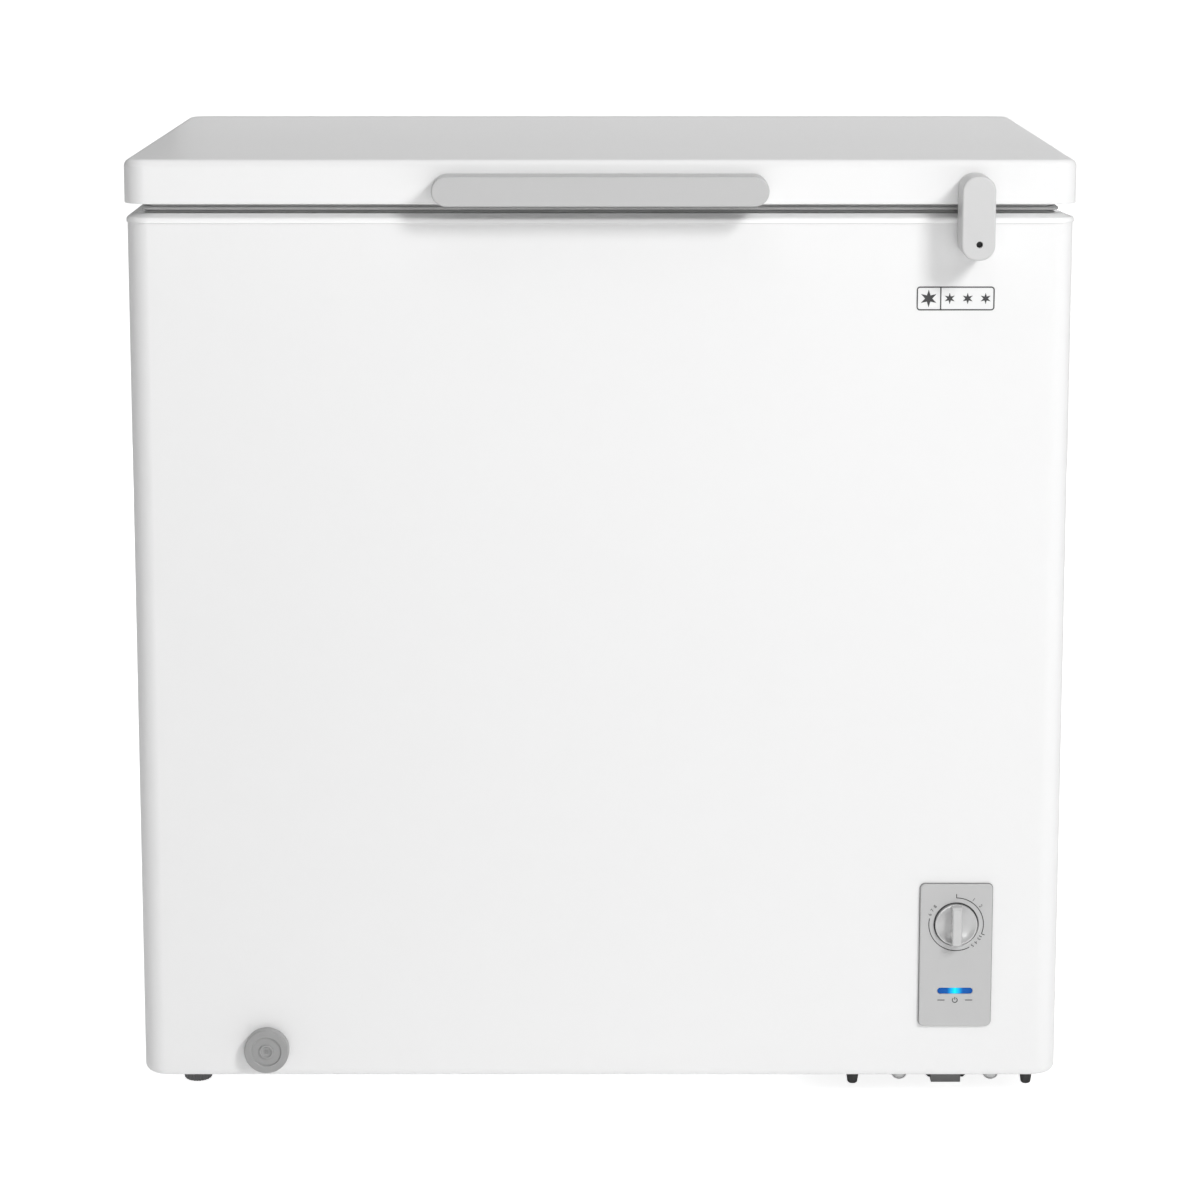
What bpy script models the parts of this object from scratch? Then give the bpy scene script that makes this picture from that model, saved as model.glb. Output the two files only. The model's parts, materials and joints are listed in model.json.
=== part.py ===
"""A chest freezer of about 190 litres, as an assembly of separate pieces.

Metres, +Z up. The origin is the middle of the footprint on the floor, the front faces -Y
and +X is the right-hand side, where the compressor compartment is.
"""

import math

import bmesh
import bpy
from mathutils import Matrix, Vector

# Driving dimensions. A piece that touches another keeps GAP to it.
GAP = 0.0003
STEEL = 0.0012
BODY_HALF_W = 0.413
BODY_FRONT_Y = -0.268
BODY_BACK_Y = 0.278
BODY_BOTTOM_Z = 0.022
SHELL_TOP_Z = 0.7965
CORNER_R = 0.020
FOLD_R = 0.005
FLANGE_W = 0.015
BACK_FLANGE_W = 0.038
FLOOR_PLATE_Z = BODY_BOTTOM_Z + STEEL + GAP
BACK_FACE_Y = BODY_BACK_Y + GAP + STEEL

# Tank: the inner liner, its step over the compressor and the collar round its mouth.
TANK_HALF_W = 0.351
TANK_FRONT_Y = -0.206
TANK_BACK_Y = 0.216
TANK_FLOOR_Z = 0.085
STEP_X = 0.127
STEP_Z = 0.330
TANK_CORNER_R = 0.011
LINER = 0.001
EVAPORATOR_SPACE = 0.008
CONDENSER_SPACE = 0.006
COLLAR_TOP_Z = 0.8025
COLLAR_SKIRT_Z = 0.7945
COLLAR_LIP_Z = 0.785
COLLAR_PROUD = 0.001
COLLAR_LIP = 0.0022

# Compressor compartment
COMPARTMENT_X = 0.1845
COMPARTMENT_TOP_Z = 0.270

# Lid
LID_HALF_W = 0.415
LID_FRONT_Y = -0.270
LID_BACK_Y = 0.280
LID_BOTTOM_Z = 0.8114
LID_TOP_Z = 0.850
LID_EDGE_R = 0.007
LID_SKIN = 0.0015
PLUG_HALF_W = 0.333
PLUG_FRONT_Y = -0.188
PLUG_BACK_Y = 0.198
PLUG_BOTTOM_Z = 0.788
PANEL = 0.0015
GASKET_INSET = 0.014
GASKET_W = 0.016

# Hinges: the lid turns on the pivot, and a sprung plunger under the arm's cam balances it.
HINGE_XS = {"left": -0.280, "right": 0.280}
PIVOT_Y = 0.29415
PIVOT_Z = 0.807
PIN_R = 0.003
CAM_R = 0.014
CAM_DROP_PER_RAD = 0.0055
CAM_SWEEP = 1.45
CAM_CLEARANCE = 0.001
CASE_HALF_W = 0.016
CASE_SHEET = 0.002
CASE_BACK_Y = 0.308
CASE_BOTTOM_Z = 0.690
SPRING_TOP_Z = 0.7746

# Front fittings
HANDLE_HALF_L = 0.1455
HANDLE_Z = (0.812, 0.838)
HANDLE_FRONT_Y = -0.302
LOCK_X = 0.325
LOCK_HALF_W = 0.01465
LOCK_Z = (0.766, 0.8388)
LOCK_FRONT_Y = -0.308
KEY_X = 0.326
KEY_Z = 0.780
PANEL_X = 0.3197
PANEL_Z = (0.0696, 0.2016)
PANEL_HALF_W = 0.03235
PANEL_THICK = 0.003
KNOB_Z = 0.1645
KNOB_R = 0.01925
KNOB_WELL_R = 0.0200
LIGHT_Z = 0.1025
LIGHT_HALF = (0.0157, 0.00255)
DRAIN_X = -0.3008
DRAIN_Z = 0.0472
DRAIN_Y = -0.170
DRAIN_CAP_R = 0.02015
DRAIN_TUBE_R = 0.009
DRAIN_BORE_R = 0.0065
DRAIN_STEM_R = 0.0054

# Feet and the pieces under the compressor
FOOT_XY = {"front": (-0.370, -0.209), "rear": (-0.370, 0.205)}
FOOT_R = 0.013
RAIL_X = 0.3173
SKID_HALF_W = 0.0136
STUB_XS = {"left": 0.2305, "right": 0.3887}
BOLT_XS = {"left": 0.2730, "right": 0.3563}
STUB_Y = -0.240
BOLT_R = 0.0075
COMPRESSOR_XY = (0.298, 0.120)
COMPRESSOR_R = 0.066

# Basket, hung over the front and back of the collar
BASKET_X = (0.135, 0.340)
BASKET_Y = (-0.1985, 0.2085)
BASKET_Z = (0.565, 0.776)
BASKET_WALL = 0.0025

LID_PIECES = (
    "lid_outer_skin",
    "lid_foam",
    "lid_inner_panel",
    "lid_gasket",
    "lid_handle",
    "lock_housing",
    "lock_cylinder",
    "hinge_arm_left",
    "hinge_arm_right",
)

AXIS_TURN = {
    "X": Matrix.Rotation(math.pi / 2, 4, "Y"),
    "Y": Matrix.Rotation(-math.pi / 2, 4, "X"),
    "-Y": Matrix.Rotation(math.pi / 2, 4, "X"),
    "Z": Matrix.Identity(4),
}

# name: (colour, roughness, metallic)
MATERIALS = {
    "white_enamel": ((0.90, 0.91, 0.90), 0.30, 0.0),
    "white_plastic": ((0.86, 0.87, 0.86), 0.38, 0.0),
    "grey_plastic": ((0.62, 0.64, 0.65), 0.35, 0.0),
    "silver_plastic": ((0.66, 0.67, 0.68), 0.32, 0.3),
    "dark_plastic": ((0.10, 0.10, 0.11), 0.5, 0.0),
    "gasket_rubber": ((0.55, 0.56, 0.56), 0.7, 0.0),
    "black_rubber": ((0.05, 0.05, 0.05), 0.8, 0.0),
    "blue_lens": ((0.02, 0.10, 0.70), 0.15, 0.0),
    "galvanised": ((0.60, 0.61, 0.62), 0.40, 0.9),
    "black_paint": ((0.03, 0.03, 0.03), 0.35, 0.0),
    "copper": ((0.80, 0.42, 0.28), 0.30, 1.0),
    "steel": ((0.70, 0.70, 0.70), 0.25, 1.0),
    "foam": ((0.92, 0.86, 0.62), 0.9, 0.0),
    "coated_wire": ((0.90, 0.90, 0.90), 0.35, 0.0),
}


def clear_scene():
    for obj in list(bpy.data.objects):
        bpy.data.objects.remove(obj, do_unlink=True)


def new_collection(name):
    collection = bpy.data.collections.new(name)
    bpy.context.scene.collection.children.link(collection)
    return collection


def make_materials():
    made = {}
    for name, (colour, roughness, metallic) in MATERIALS.items():
        material = bpy.data.materials.new(name)
        material.use_nodes = True
        shader = material.node_tree.nodes["Principled BSDF"]
        shader.inputs["Base Color"].default_value = (*colour, 1.0)
        shader.inputs["Roughness"].default_value = roughness
        shader.inputs["Metallic"].default_value = metallic
        made[name] = material
    return made


clear_scene()
PIECES = new_collection("chest_freezer")
CUTTERS = new_collection("cutters")
FINISHES = make_materials()


def add(name, data, finish=None):
    """Link an object: a piece with its finish, or without one a cutter."""
    obj = bpy.data.objects.new(name, data)
    if finish is None:
        CUTTERS.objects.link(obj)
        obj.hide_render = True
        obj.display_type = "WIRE"
    else:
        PIECES.objects.link(obj)
        obj.data.materials.append(FINISHES[finish])
    return obj


def smooth(mesh, angle=35):
    mesh.shade_smooth()
    mesh.set_sharp_from_angle(angle=math.radians(angle))


def along(edge, axis):
    """True for an edge parallel to one axis, given as 0, 1 or 2."""
    step = edge.verts[0].co - edge.verts[1].co
    return all(abs(step[i]) < 1e-6 for i in range(3) if i != axis)


def round_edges(bm, edges, radius, segments):
    bmesh.ops.bevel(
        bm, geom=edges, offset=radius, offset_type="OFFSET", segments=segments, profile=0.5, affect="EDGES"
    )


def add_box(bm, low, high):
    size = Vector(high) - Vector(low)
    middle = (Vector(high) + Vector(low)) / 2
    bmesh.ops.create_cube(bm, size=1.0, matrix=Matrix.LocRotScale(middle, None, size))


def block_mesh(name, low, high, radius=0.0, axis=2, segments=4, top=0.0, bottom=0.0):
    """A box between two corners, its four edges along axis rounded, then its top and bottom edges."""
    bm = bmesh.new()
    add_box(bm, low, high)
    if radius:
        round_edges(bm, [e for e in bm.edges if along(e, axis)], radius, segments)
    for level, edge_radius in ((high[2], top), (low[2], bottom)):
        if edge_radius:
            ring = [e for e in bm.edges if all(abs(v.co.z - level) < 1e-6 for v in e.verts)]
            round_edges(bm, ring, edge_radius, 3)
    mesh = bpy.data.meshes.new(name)
    bm.to_mesh(mesh)
    bm.free()
    smooth(mesh)
    return mesh


def block(name, low, high, finish=None, **shape):
    return add(name, block_mesh(name, low, high, **shape), finish)


def sheet_shell(name, mesh, thickness, open_side):
    """A shell of white sheet from a closed box: its top (1.0) or bottom (-1.0) is left open."""
    bm = bmesh.new()
    bm.from_mesh(mesh)
    bmesh.ops.delete(bm, geom=[f for f in bm.faces if f.normal.z * open_side > 0.9], context="FACES")
    bm.to_mesh(mesh)
    bm.free()
    smooth(mesh)
    shell = add(name, mesh, "white_enamel")
    wall = shell.modifiers.new("sheet", "SOLIDIFY")
    wall.thickness = thickness
    wall.offset = -1.0
    wall.use_even_offset = True
    return shell


def cylinder(name, centre, radius, length, axis="Z", finish=None, segments=32):
    """A cylinder with its middle at centre."""
    bm = bmesh.new()
    bmesh.ops.create_cone(
        bm, cap_ends=True, segments=segments, radius1=radius, radius2=radius, depth=length
    )
    mesh = bpy.data.meshes.new(name)
    bm.to_mesh(mesh)
    bm.free()
    smooth(mesh)
    obj = add(name, mesh, finish)
    obj.matrix_world = Matrix.Translation(centre) @ AXIS_TURN[axis]
    return obj


def turned(name, profile, place, axis="Z", finish=None, steps=24):
    """A turned piece from (radius, height) points running down its outer side, with height along axis."""
    mesh = bpy.data.meshes.new(name)
    points = [(radius, 0.0, height) for radius, height in profile]
    mesh.from_pydata(points, [(i, i + 1) for i in range(len(points) - 1)], [])
    obj = add(name, mesh, finish)
    screw = obj.modifiers.new("turn", "SCREW")
    screw.steps = screw.render_steps = steps
    screw.use_merge_vertices = True
    screw.merge_threshold = 0.0001
    obj.matrix_world = Matrix.Translation(place) @ AXIS_TURN[axis]
    return obj


def tube(name, points, radius, finish=None):
    curve = bpy.data.curves.new(name, "CURVE")
    curve.dimensions = "3D"
    curve.bevel_depth = radius
    curve.bevel_resolution = 2
    curve.use_fill_caps = True
    spline = curve.splines.new("POLY")
    spline.points.add(len(points) - 1)
    for slot, point in zip(spline.points, points):
        slot.co = (*point, 1.0)
    return add(name, curve, finish)


def as_mesh(obj, finish=None):
    """Swap a curve for its welded mesh, so that it can be cut or can cut."""
    bpy.context.view_layer.update()
    evaluated = obj.evaluated_get(bpy.context.evaluated_depsgraph_get())
    mesh = bpy.data.meshes.new_from_object(evaluated)
    bm = bmesh.new()
    bm.from_mesh(mesh)
    bmesh.ops.remove_doubles(bm, verts=bm.verts, dist=0.00001)
    bm.to_mesh(mesh)
    bm.free()
    name, place = obj.name, obj.matrix_world.copy()
    bpy.data.objects.remove(obj, do_unlink=True)
    mesh.materials.clear()
    swapped = add(name, mesh, finish)
    swapped.matrix_world = place
    return swapped


def outline(name, points, thickness, finish=None):
    """A flat outline in the YZ plane, given as (y, z) points, with its thickness along X about x = 0."""
    curve = bpy.data.curves.new(name, "CURVE")
    curve.dimensions = "2D"
    curve.fill_mode = "BOTH"
    curve.extrude = thickness / 2
    spline = curve.splines.new("POLY")
    spline.points.add(len(points) - 1)
    for slot, (y, z) in zip(spline.points, points):
        slot.co = (y, z, 0.0, 1.0)
    spline.use_cyclic_u = True
    obj = add(name, curve, finish)
    obj.matrix_world = Matrix(((0, 0, 1, 0), (1, 0, 0, 0), (0, 1, 0, 0), (0, 0, 0, 1)))
    return obj


def follow(obj, parent):
    """Parent an object without moving it."""
    obj.parent = parent
    obj.matrix_parent_inverse = parent.matrix_world.inverted()


def combine(target, operation, tools):
    """Add or cut away tools, which follow the target when it moves."""
    for tool in tools:
        step = target.modifiers.new(operation.lower(), "BOOLEAN")
        step.operation = operation
        step.object = tool
        follow(tool, target)


def cut(target, *tools):
    combine(target, "DIFFERENCE", tools)


def join(target, *tools):
    combine(target, "UNION", tools)


def filleted(points, radius, steps=4):
    """A route with each inner corner rounded, for bent pipes."""
    corners = [Vector(p) for p in points]
    route = [corners[0]]
    for before, corner, after in zip(corners, corners[1:], corners[2:]):
        start = corner + (before - corner).normalized() * radius
        end = corner + (after - corner).normalized() * radius
        for i in range(steps + 1):
            t = i / steps
            route.append(start * (1 - t) ** 2 + corner * 2 * t * (1 - t) + end * t**2)
    return route + [corners[-1]]


def arc(centre, radius, start, end, steps):
    """Points on a circle, angles in radians."""
    angles = [start + (end - start) * i / steps for i in range(steps + 1)]
    return [(centre[0] + radius * math.cos(a), centre[1] + radius * math.sin(a)) for a in angles]


def shift_to(obj, x):
    """Move a piece that was made about x = 0 along X."""
    obj.matrix_world = Matrix.Translation((x, 0.0, 0.0)) @ obj.matrix_world


def many_blocks(name, boxes):
    """One cutter made of several separate boxes, given as (low, high) corners."""
    bm = bmesh.new()
    for low, high in boxes:
        add_box(bm, low, high)
    mesh = bpy.data.meshes.new(name)
    bm.to_mesh(mesh)
    bm.free()
    return add(name, mesh)


# Cabinet


def make_outer_shell():
    """The white steel wrapper: one sheet round the front, sides and back corners, folded in below."""
    low = (-BODY_HALF_W, BODY_FRONT_Y, BODY_BOTTOM_Z)
    high = (BODY_HALF_W, BODY_BACK_Y, SHELL_TOP_Z)
    mesh = block_mesh("outer_shell", low, high, radius=CORNER_R, segments=8, bottom=FOLD_R)
    shell = sheet_shell("outer_shell", mesh, STEEL, open_side=1.0)
    underside = block(
        "underside_opening",
        (-BODY_HALF_W + FLANGE_W, BODY_FRONT_Y + FLANGE_W, 0.0),
        (BODY_HALF_W - FLANGE_W, BODY_BACK_Y - FLANGE_W, 0.040),
    )
    back_opening = block(
        "back_opening",
        (-BODY_HALF_W + BACK_FLANGE_W, BODY_BACK_Y - 0.010, 0.040),
        (BODY_HALF_W - BACK_FLANGE_W, BODY_BACK_Y + 0.010, 0.775),
    )
    shaft_hole = cylinder("shaft_hole", (PANEL_X, BODY_FRONT_Y, KNOB_Z), 0.0045, 0.02, "Y")
    drain_hole = cylinder("drain_hole", (DRAIN_X, BODY_FRONT_Y, DRAIN_Z), DRAIN_TUBE_R + GAP, 0.02, "Y")
    cut(shell, underside, back_opening, shaft_hole, drain_hole)


def make_back_panel():
    """The flat sheet over the back, with the window through which the compressor is reached."""
    panel = block(
        "back_panel",
        (-BODY_HALF_W + CORNER_R, BODY_BACK_Y + GAP, 0.030),
        (BODY_HALF_W - CORNER_R, BACK_FACE_Y, 0.790),
        "white_enamel",
        radius=0.004,
        axis=1,
        segments=2,
    )
    window = block("rear_window", (0.205, BODY_BACK_Y - 0.02, 0.045), (0.372, BODY_BACK_Y + 0.02, 0.255))
    cut(panel, window)


def make_bottom_pan():
    pan = block(
        "bottom_pan",
        (-BODY_HALF_W + FOLD_R + 0.002, BODY_FRONT_Y + FOLD_R + 0.002, FLOOR_PLATE_Z),
        (COMPARTMENT_X - 0.002, BODY_BACK_Y - FOLD_R - 0.002, FLOOR_PLATE_Z + STEEL),
        "galvanised",
        radius=0.014,
    )
    holes = [
        cylinder(f"pan_hole_{end}", (x, y, FLOOR_PLATE_Z), 0.0045, 0.02)
        for end, (x, y) in FOOT_XY.items()
    ]
    cut(pan, *holes)


def tank_blocks(name, offset, top, radius):
    """The two overlapping blocks that make the stepped tank's shape, grown outwards by offset."""
    low_y = TANK_FRONT_Y - offset
    high_y = TANK_BACK_Y + offset
    deep = block(
        f"{name}_deep",
        (-TANK_HALF_W - offset, low_y, TANK_FLOOR_Z - offset),
        (STEP_X + offset, high_y, top),
        radius=radius,
        segments=3,
    )
    shallow = block(
        f"{name}_shallow",
        (-TANK_HALF_W - offset, low_y, STEP_Z - offset),
        (TANK_HALF_W + offset, high_y, top),
        radius=radius,
        segments=3,
    )
    return deep, shallow


def make_inner_liner():
    """The stepped tank of thin sheet, open at the top, with a drain hole in its floor."""
    deep, shallow = tank_blocks("liner", LINER, SHELL_TOP_Z, TANK_CORNER_R + LINER)
    liner = add("inner_liner", shallow.data, "white_enamel")
    bpy.data.objects.remove(shallow, do_unlink=True)
    join(liner, deep)
    inside = tank_blocks("tank", 0.0, SHELL_TOP_Z + 0.05, TANK_CORNER_R)
    drain = cylinder("floor_drain", (DRAIN_X, DRAIN_Y, TANK_FLOOR_Z), DRAIN_TUBE_R + GAP, 0.02)
    cut(liner, *inside, drain)


def drain_route(front_y, top_z):
    """The drain's way down from the tank and forward to the front."""
    corner = (DRAIN_X, DRAIN_Y, DRAIN_Z)
    return filleted([(DRAIN_X, DRAIN_Y, top_z), corner, (DRAIN_X, front_y, DRAIN_Z)], 0.02)


def make_foam():
    """The insulation between shell and liner, with room for the tubes on both of its faces."""
    stand = STEEL + CONDENSER_SPACE
    foam = block(
        "foam_insulation",
        (-BODY_HALF_W + stand, BODY_FRONT_Y + stand, FLOOR_PLATE_Z + STEEL + GAP),
        (BODY_HALF_W - stand, BODY_BACK_Y - FOLD_R - 0.002, 0.790),
        "foam",
        radius=0.014,
        segments=3,
    )
    hollow = tank_blocks("foam_hollow", LINER + EVAPORATOR_SPACE, 0.85, 0.014)
    compartment = block(
        "compartment", (COMPARTMENT_X - 0.0023, -0.4, -0.1), (0.5, 0.4, COMPARTMENT_TOP_Z + 0.0023)
    )
    drain = as_mesh(tube("foam_drain", drain_route(-0.30, 0.10), DRAIN_TUBE_R + 0.001))
    studs = [cylinder(f"stud_hole_{end}", (x, y, 0.03), 0.0055, 0.05) for end, (x, y) in FOOT_XY.items()]
    riser = block("pipe_riser", (0.330, 0.224, 0.26), (0.362, 0.242, 0.36))
    cut(foam, *hollow, compartment, drain, riser, *studs)


def make_collar():
    """The plastic frame that caps the shell and the liner and carries the lid's seal."""
    out = COLLAR_PROUD
    collar = block(
        "top_collar",
        (-BODY_HALF_W - out, BODY_FRONT_Y - out, COLLAR_LIP_Z),
        (BODY_HALF_W + out, BODY_BACK_Y + out, COLLAR_TOP_Z),
        "white_plastic",
        radius=CORNER_R + out,
        segments=8,
        top=0.0028,
    )
    lip = COLLAR_LIP
    mouth = block(
        "collar_mouth",
        (-TANK_HALF_W + lip, TANK_FRONT_Y + lip, 0.7),
        (TANK_HALF_W - lip, TANK_BACK_Y - lip, 0.9),
        radius=TANK_CORNER_R - lip,
        segments=3,
    )
    under = block(
        "collar_under",
        (-BODY_HALF_W - GAP, BODY_FRONT_Y - GAP, 0.7),
        (BODY_HALF_W + GAP, BODY_BACK_Y + GAP, SHELL_TOP_Z + GAP),
        radius=CORNER_R + GAP,
        segments=8,
    )
    inner = block(
        "collar_inner",
        (-TANK_HALF_W + GAP, TANK_FRONT_Y + GAP, 0.6),
        (TANK_HALF_W - GAP, TANK_BACK_Y - GAP, 0.95),
        radius=TANK_CORNER_R - GAP,
        segments=3,
    )
    cut(under, inner)
    trim = block("collar_trim", (-0.5, -0.5, 0.75), (0.5, 0.5, COLLAR_SKIRT_Z))
    keep = block("collar_keep", (-0.39, -0.245, 0.7), (0.39, 0.255, 0.9))
    cut(trim, keep)
    cut(collar, mouth, under, trim)


# Refrigeration


def make_compartment():
    """The sheet that divides the compressor compartment from the insulation, and the base plate."""
    divider = block(
        "compartment_divider",
        (COMPARTMENT_X - 0.0015, BODY_FRONT_Y + 0.008, FLOOR_PLATE_Z),
        (0.405, BODY_BACK_Y - FOLD_R - 0.002, COMPARTMENT_TOP_Z + 0.0015),
        "galvanised",
    )
    space = block("compartment_space", (COMPARTMENT_X, -0.4, -0.1), (0.6, 0.4, COMPARTMENT_TOP_Z))
    riser = block("divider_riser", (0.330, 0.224, 0.2), (0.362, 0.242, 0.3))
    cut(divider, space, riser)
    block(
        "compressor_base_plate",
        (COMPARTMENT_X + 0.003, BODY_FRONT_Y + 0.008, FLOOR_PLATE_Z),
        (0.402, BODY_BACK_Y - FOLD_R - 0.002, FLOOR_PLATE_Z + 0.002),
        "black_paint",
    )


def compressor_corners():
    x, y = COMPRESSOR_XY
    return [(x + sx * 0.070, y + sy * 0.045) for sx in (-1, 1) for sy in (-1, 1)]


def make_compressor():
    """The hermetic can with its foot plate, on four rubber grommets, and the start relay's cover."""
    x, y = COMPRESSOR_XY
    r = COMPRESSOR_R
    plate_z = FLOOR_PLATE_Z + 0.002 + 0.016
    can = turned(
        "compressor",
        [(0.0, 0.214), (r * 0.45, 0.210), (r * 0.80, 0.196), (r * 0.96, 0.172), (r, 0.150), (r, 0.128)]
        + [(r * 1.04, 0.126), (r * 1.04, 0.118), (r, 0.116), (r * 0.97, 0.080), (r * 0.80, 0.058)]
        + [(r * 0.50, 0.048), (0.0, 0.046)],
        (x, y, 0.0),
        finish="black_paint",
    )
    foot_low, foot_high = (x - 0.082, y - 0.055, plate_z), (x + 0.082, y + 0.055, 0.052)
    foot = block("compressor_foot", foot_low, foot_high, radius=0.012)
    join(can, foot)
    for i, (gx, gy) in enumerate(compressor_corners(), 1):
        turned(
            f"compressor_grommet_{i}",
            [(0.0, plate_z - GAP), (0.008, plate_z - GAP), (0.011, plate_z - 0.004)]
            + [(0.011, FLOOR_PLATE_Z + 0.004), (0.009, FLOOR_PLATE_Z + 0.0023)]
            + [(0.0, FLOOR_PLATE_Z + 0.0023)],
            (gx, gy, 0.0),
            finish="black_rubber",
            steps=12,
        )
    block(
        "start_relay_cover",
        (x - 0.025, y - r - 0.034, 0.100),
        (x + 0.025, y - r - 0.003, 0.160),
        "dark_plastic",
        radius=0.006,
    )


def make_condenser():
    """The warm tube that runs back and forth on the inside of the shell's sides and front."""
    reach = BODY_HALF_W - STEEL - CONDENSER_SPACE / 2
    front = BODY_FRONT_Y + STEEL + CONDENSER_SPACE / 2
    rear = 0.250
    corner = CORNER_R - STEEL - CONDENSER_SPACE / 2
    route = [(reach, rear - 0.010, 0.235)]
    for row in range(5):
        z = 0.310 + 0.100 * row
        side = 1 if row % 2 == 0 else -1
        route.append((side * reach, rear, z - 0.010))
        route.append((side * reach, rear - 0.010, z))
        for sign in (side, -side):
            centre = (sign * (reach - corner), front + corner)
            start, end = (0.0, -math.pi / 2) if sign > 0 else (math.pi, 1.5 * math.pi)
            bend = arc(centre, corner, start, end, 3)
            route += [(x, y, z) for x, y in (bend if sign == side else bend[::-1])]
        route.append((-side * reach, rear - 0.010, z))
        route.append((-side * reach, rear, z + 0.010))
    tube("condenser_coil", route[:-1], 0.0024, "copper")


def make_evaporator():
    """The cold tube, wound round the outside of the liner above its step."""
    off = LINER + EVAPORATOR_SPACE / 2
    reach = TANK_HALF_W + off
    corner = 0.016
    middles = [
        (reach - corner, TANK_BACK_Y + off - corner, 0.0),
        (-reach + corner, TANK_BACK_Y + off - corner, math.pi / 2),
        (-reach + corner, TANK_FRONT_Y - off + corner, math.pi),
        (reach - corner, TANK_FRONT_Y - off + corner, 1.5 * math.pi),
    ]
    turns = 5
    pitch = 0.078
    route = [(0.346, TANK_BACK_Y + off + 0.010, 0.300), (0.346, TANK_BACK_Y + off, 0.355)]
    first_z = 0.365
    for turn in range(turns):
        for quarter, (x, y, start) in enumerate(middles):
            bend = arc((x, y), corner, start, start + math.pi / 2, 2)
            for i, point in enumerate(bend):
                share = (quarter + (i / 2 - 0.5) * 0.1) / 4
                if turn or quarter:
                    route.append((*point, first_z + pitch * (turn + share)))
    tube("evaporator_coil", route, 0.0030, "copper")


def make_pipes():
    """The drier, the capillary and the two pipes between the compressor and the coils."""
    x, y = COMPRESSOR_XY
    turned(
        "filter_drier",
        [(0.0, 0.060), (0.003, 0.060), (0.004, 0.052), (0.0095, 0.044), (0.0095, -0.044)]
        + [(0.004, -0.052), (0.003, -0.060), (0.0, -0.060)],
        (0.225, 0.205, 0.150),
        finish="copper",
        steps=20,
    )
    reach = BODY_HALF_W - STEEL - CONDENSER_SPACE / 2
    tube(
        "discharge_pipe",
        filleted(
            [(x + COMPRESSOR_R + 0.003, y, 0.150), (reach - 0.006, y, 0.150), (reach - 0.006, 0.240, 0.150)]
            + [(reach, 0.240, 0.190), (reach, 0.240, 0.2345)],
            0.012,
        ),
        0.0024,
        "copper",
    )
    tube(
        "suction_pipe",
        filleted(
            [(x, y + COMPRESSOR_R + 0.003, 0.150), (x, 0.230, 0.150)]
            + [(0.346, 0.233, 0.200), (0.346, 0.2325, 0.288)],
            0.014,
        ),
        0.0032,
        "copper",
    )
    coil = [
        (0.225 + 0.020 * math.cos(a), 0.205 + 0.020 * math.sin(a), 0.225 + 0.0006 * a)
        for a in [math.pi / 4 * i for i in range(33)]
    ]
    route = [(0.225, 0.205, 0.2105), (0.225, 0.205, 0.214), (0.235, 0.205, 0.219)] + coil
    tube("capillary_tube", route, 0.0011, "copper")


# Controls


def make_controls():
    """The front control panel, its light, the knob with its shaft and the thermostat it turns."""
    back_y = BODY_FRONT_Y - GAP
    front_y = back_y - PANEL_THICK
    panel = block(
        "control_panel",
        (PANEL_X - PANEL_HALF_W, front_y, PANEL_Z[0]),
        (PANEL_X + PANEL_HALF_W, back_y, PANEL_Z[1]),
        "silver_plastic",
        radius=0.004,
        axis=1,
    )
    well = cylinder("knob_well", (PANEL_X, front_y, KNOB_Z), KNOB_WELL_R, 0.02, "Y", segments=48)
    half_w, half_h = LIGHT_HALF
    slot = block(
        "light_slot",
        (PANEL_X - half_w - GAP, front_y - 0.01, LIGHT_Z - half_h - GAP),
        (PANEL_X + half_w + GAP, back_y + 0.01, LIGHT_Z + half_h + GAP),
        radius=half_h + GAP * 0.9,
        axis=1,
    )
    cut(panel, well, slot)
    block(
        "power_light_lens",
        (PANEL_X - half_w, front_y - 0.0003, LIGHT_Z - half_h),
        (PANEL_X + half_w, back_y, LIGHT_Z + half_h),
        "blue_lens",
        radius=half_h * 0.98,
        axis=1,
    )
    knob = turned(
        "thermostat_knob",
        [(0.0, 0.0050), (KNOB_R - 0.0015, 0.0050), (KNOB_R, 0.0035), (KNOB_R, -0.0010)]
        + [(0.0030, -0.0010), (0.0030, -0.0240), (0.0, -0.0240)],
        (PANEL_X, back_y - 0.0016, KNOB_Z),
        axis="-Y",
        finish="silver_plastic",
        steps=48,
    )
    grip_y = back_y - 0.0016
    grip = block(
        "knob_grip",
        (PANEL_X - 0.0048, grip_y - 0.0135, KNOB_Z - KNOB_R + 0.0004),
        (PANEL_X + 0.0048, grip_y - 0.0030, KNOB_Z + KNOB_R - 0.0004),
        radius=0.0015,
        axis=2,
    )
    join(knob, grip)
    thermostat = block(
        "thermostat",
        (PANEL_X - 0.020, BODY_FRONT_Y + 0.0060, KNOB_Z - 0.020),
        (PANEL_X + 0.020, BODY_FRONT_Y + 0.0360, KNOB_Z + 0.020),
        "galvanised",
        radius=0.003,
        axis=1,
    )
    cut(thermostat, cylinder("shaft_bore", (PANEL_X, BODY_FRONT_Y + 0.010, KNOB_Z), PIN_R + GAP, 0.032, "Y"))
    tube(
        "sensor_tube",
        filleted(
            [(PANEL_X - 0.010, BODY_FRONT_Y + 0.0363, KNOB_Z), (PANEL_X - 0.010, -0.200, KNOB_Z)]
            + [(0.190, -0.200, 0.200), (0.190, -0.140, 0.262)],
            0.015,
        ),
        0.0012,
        "copper",
    )


# Rear cover and drain


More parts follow.
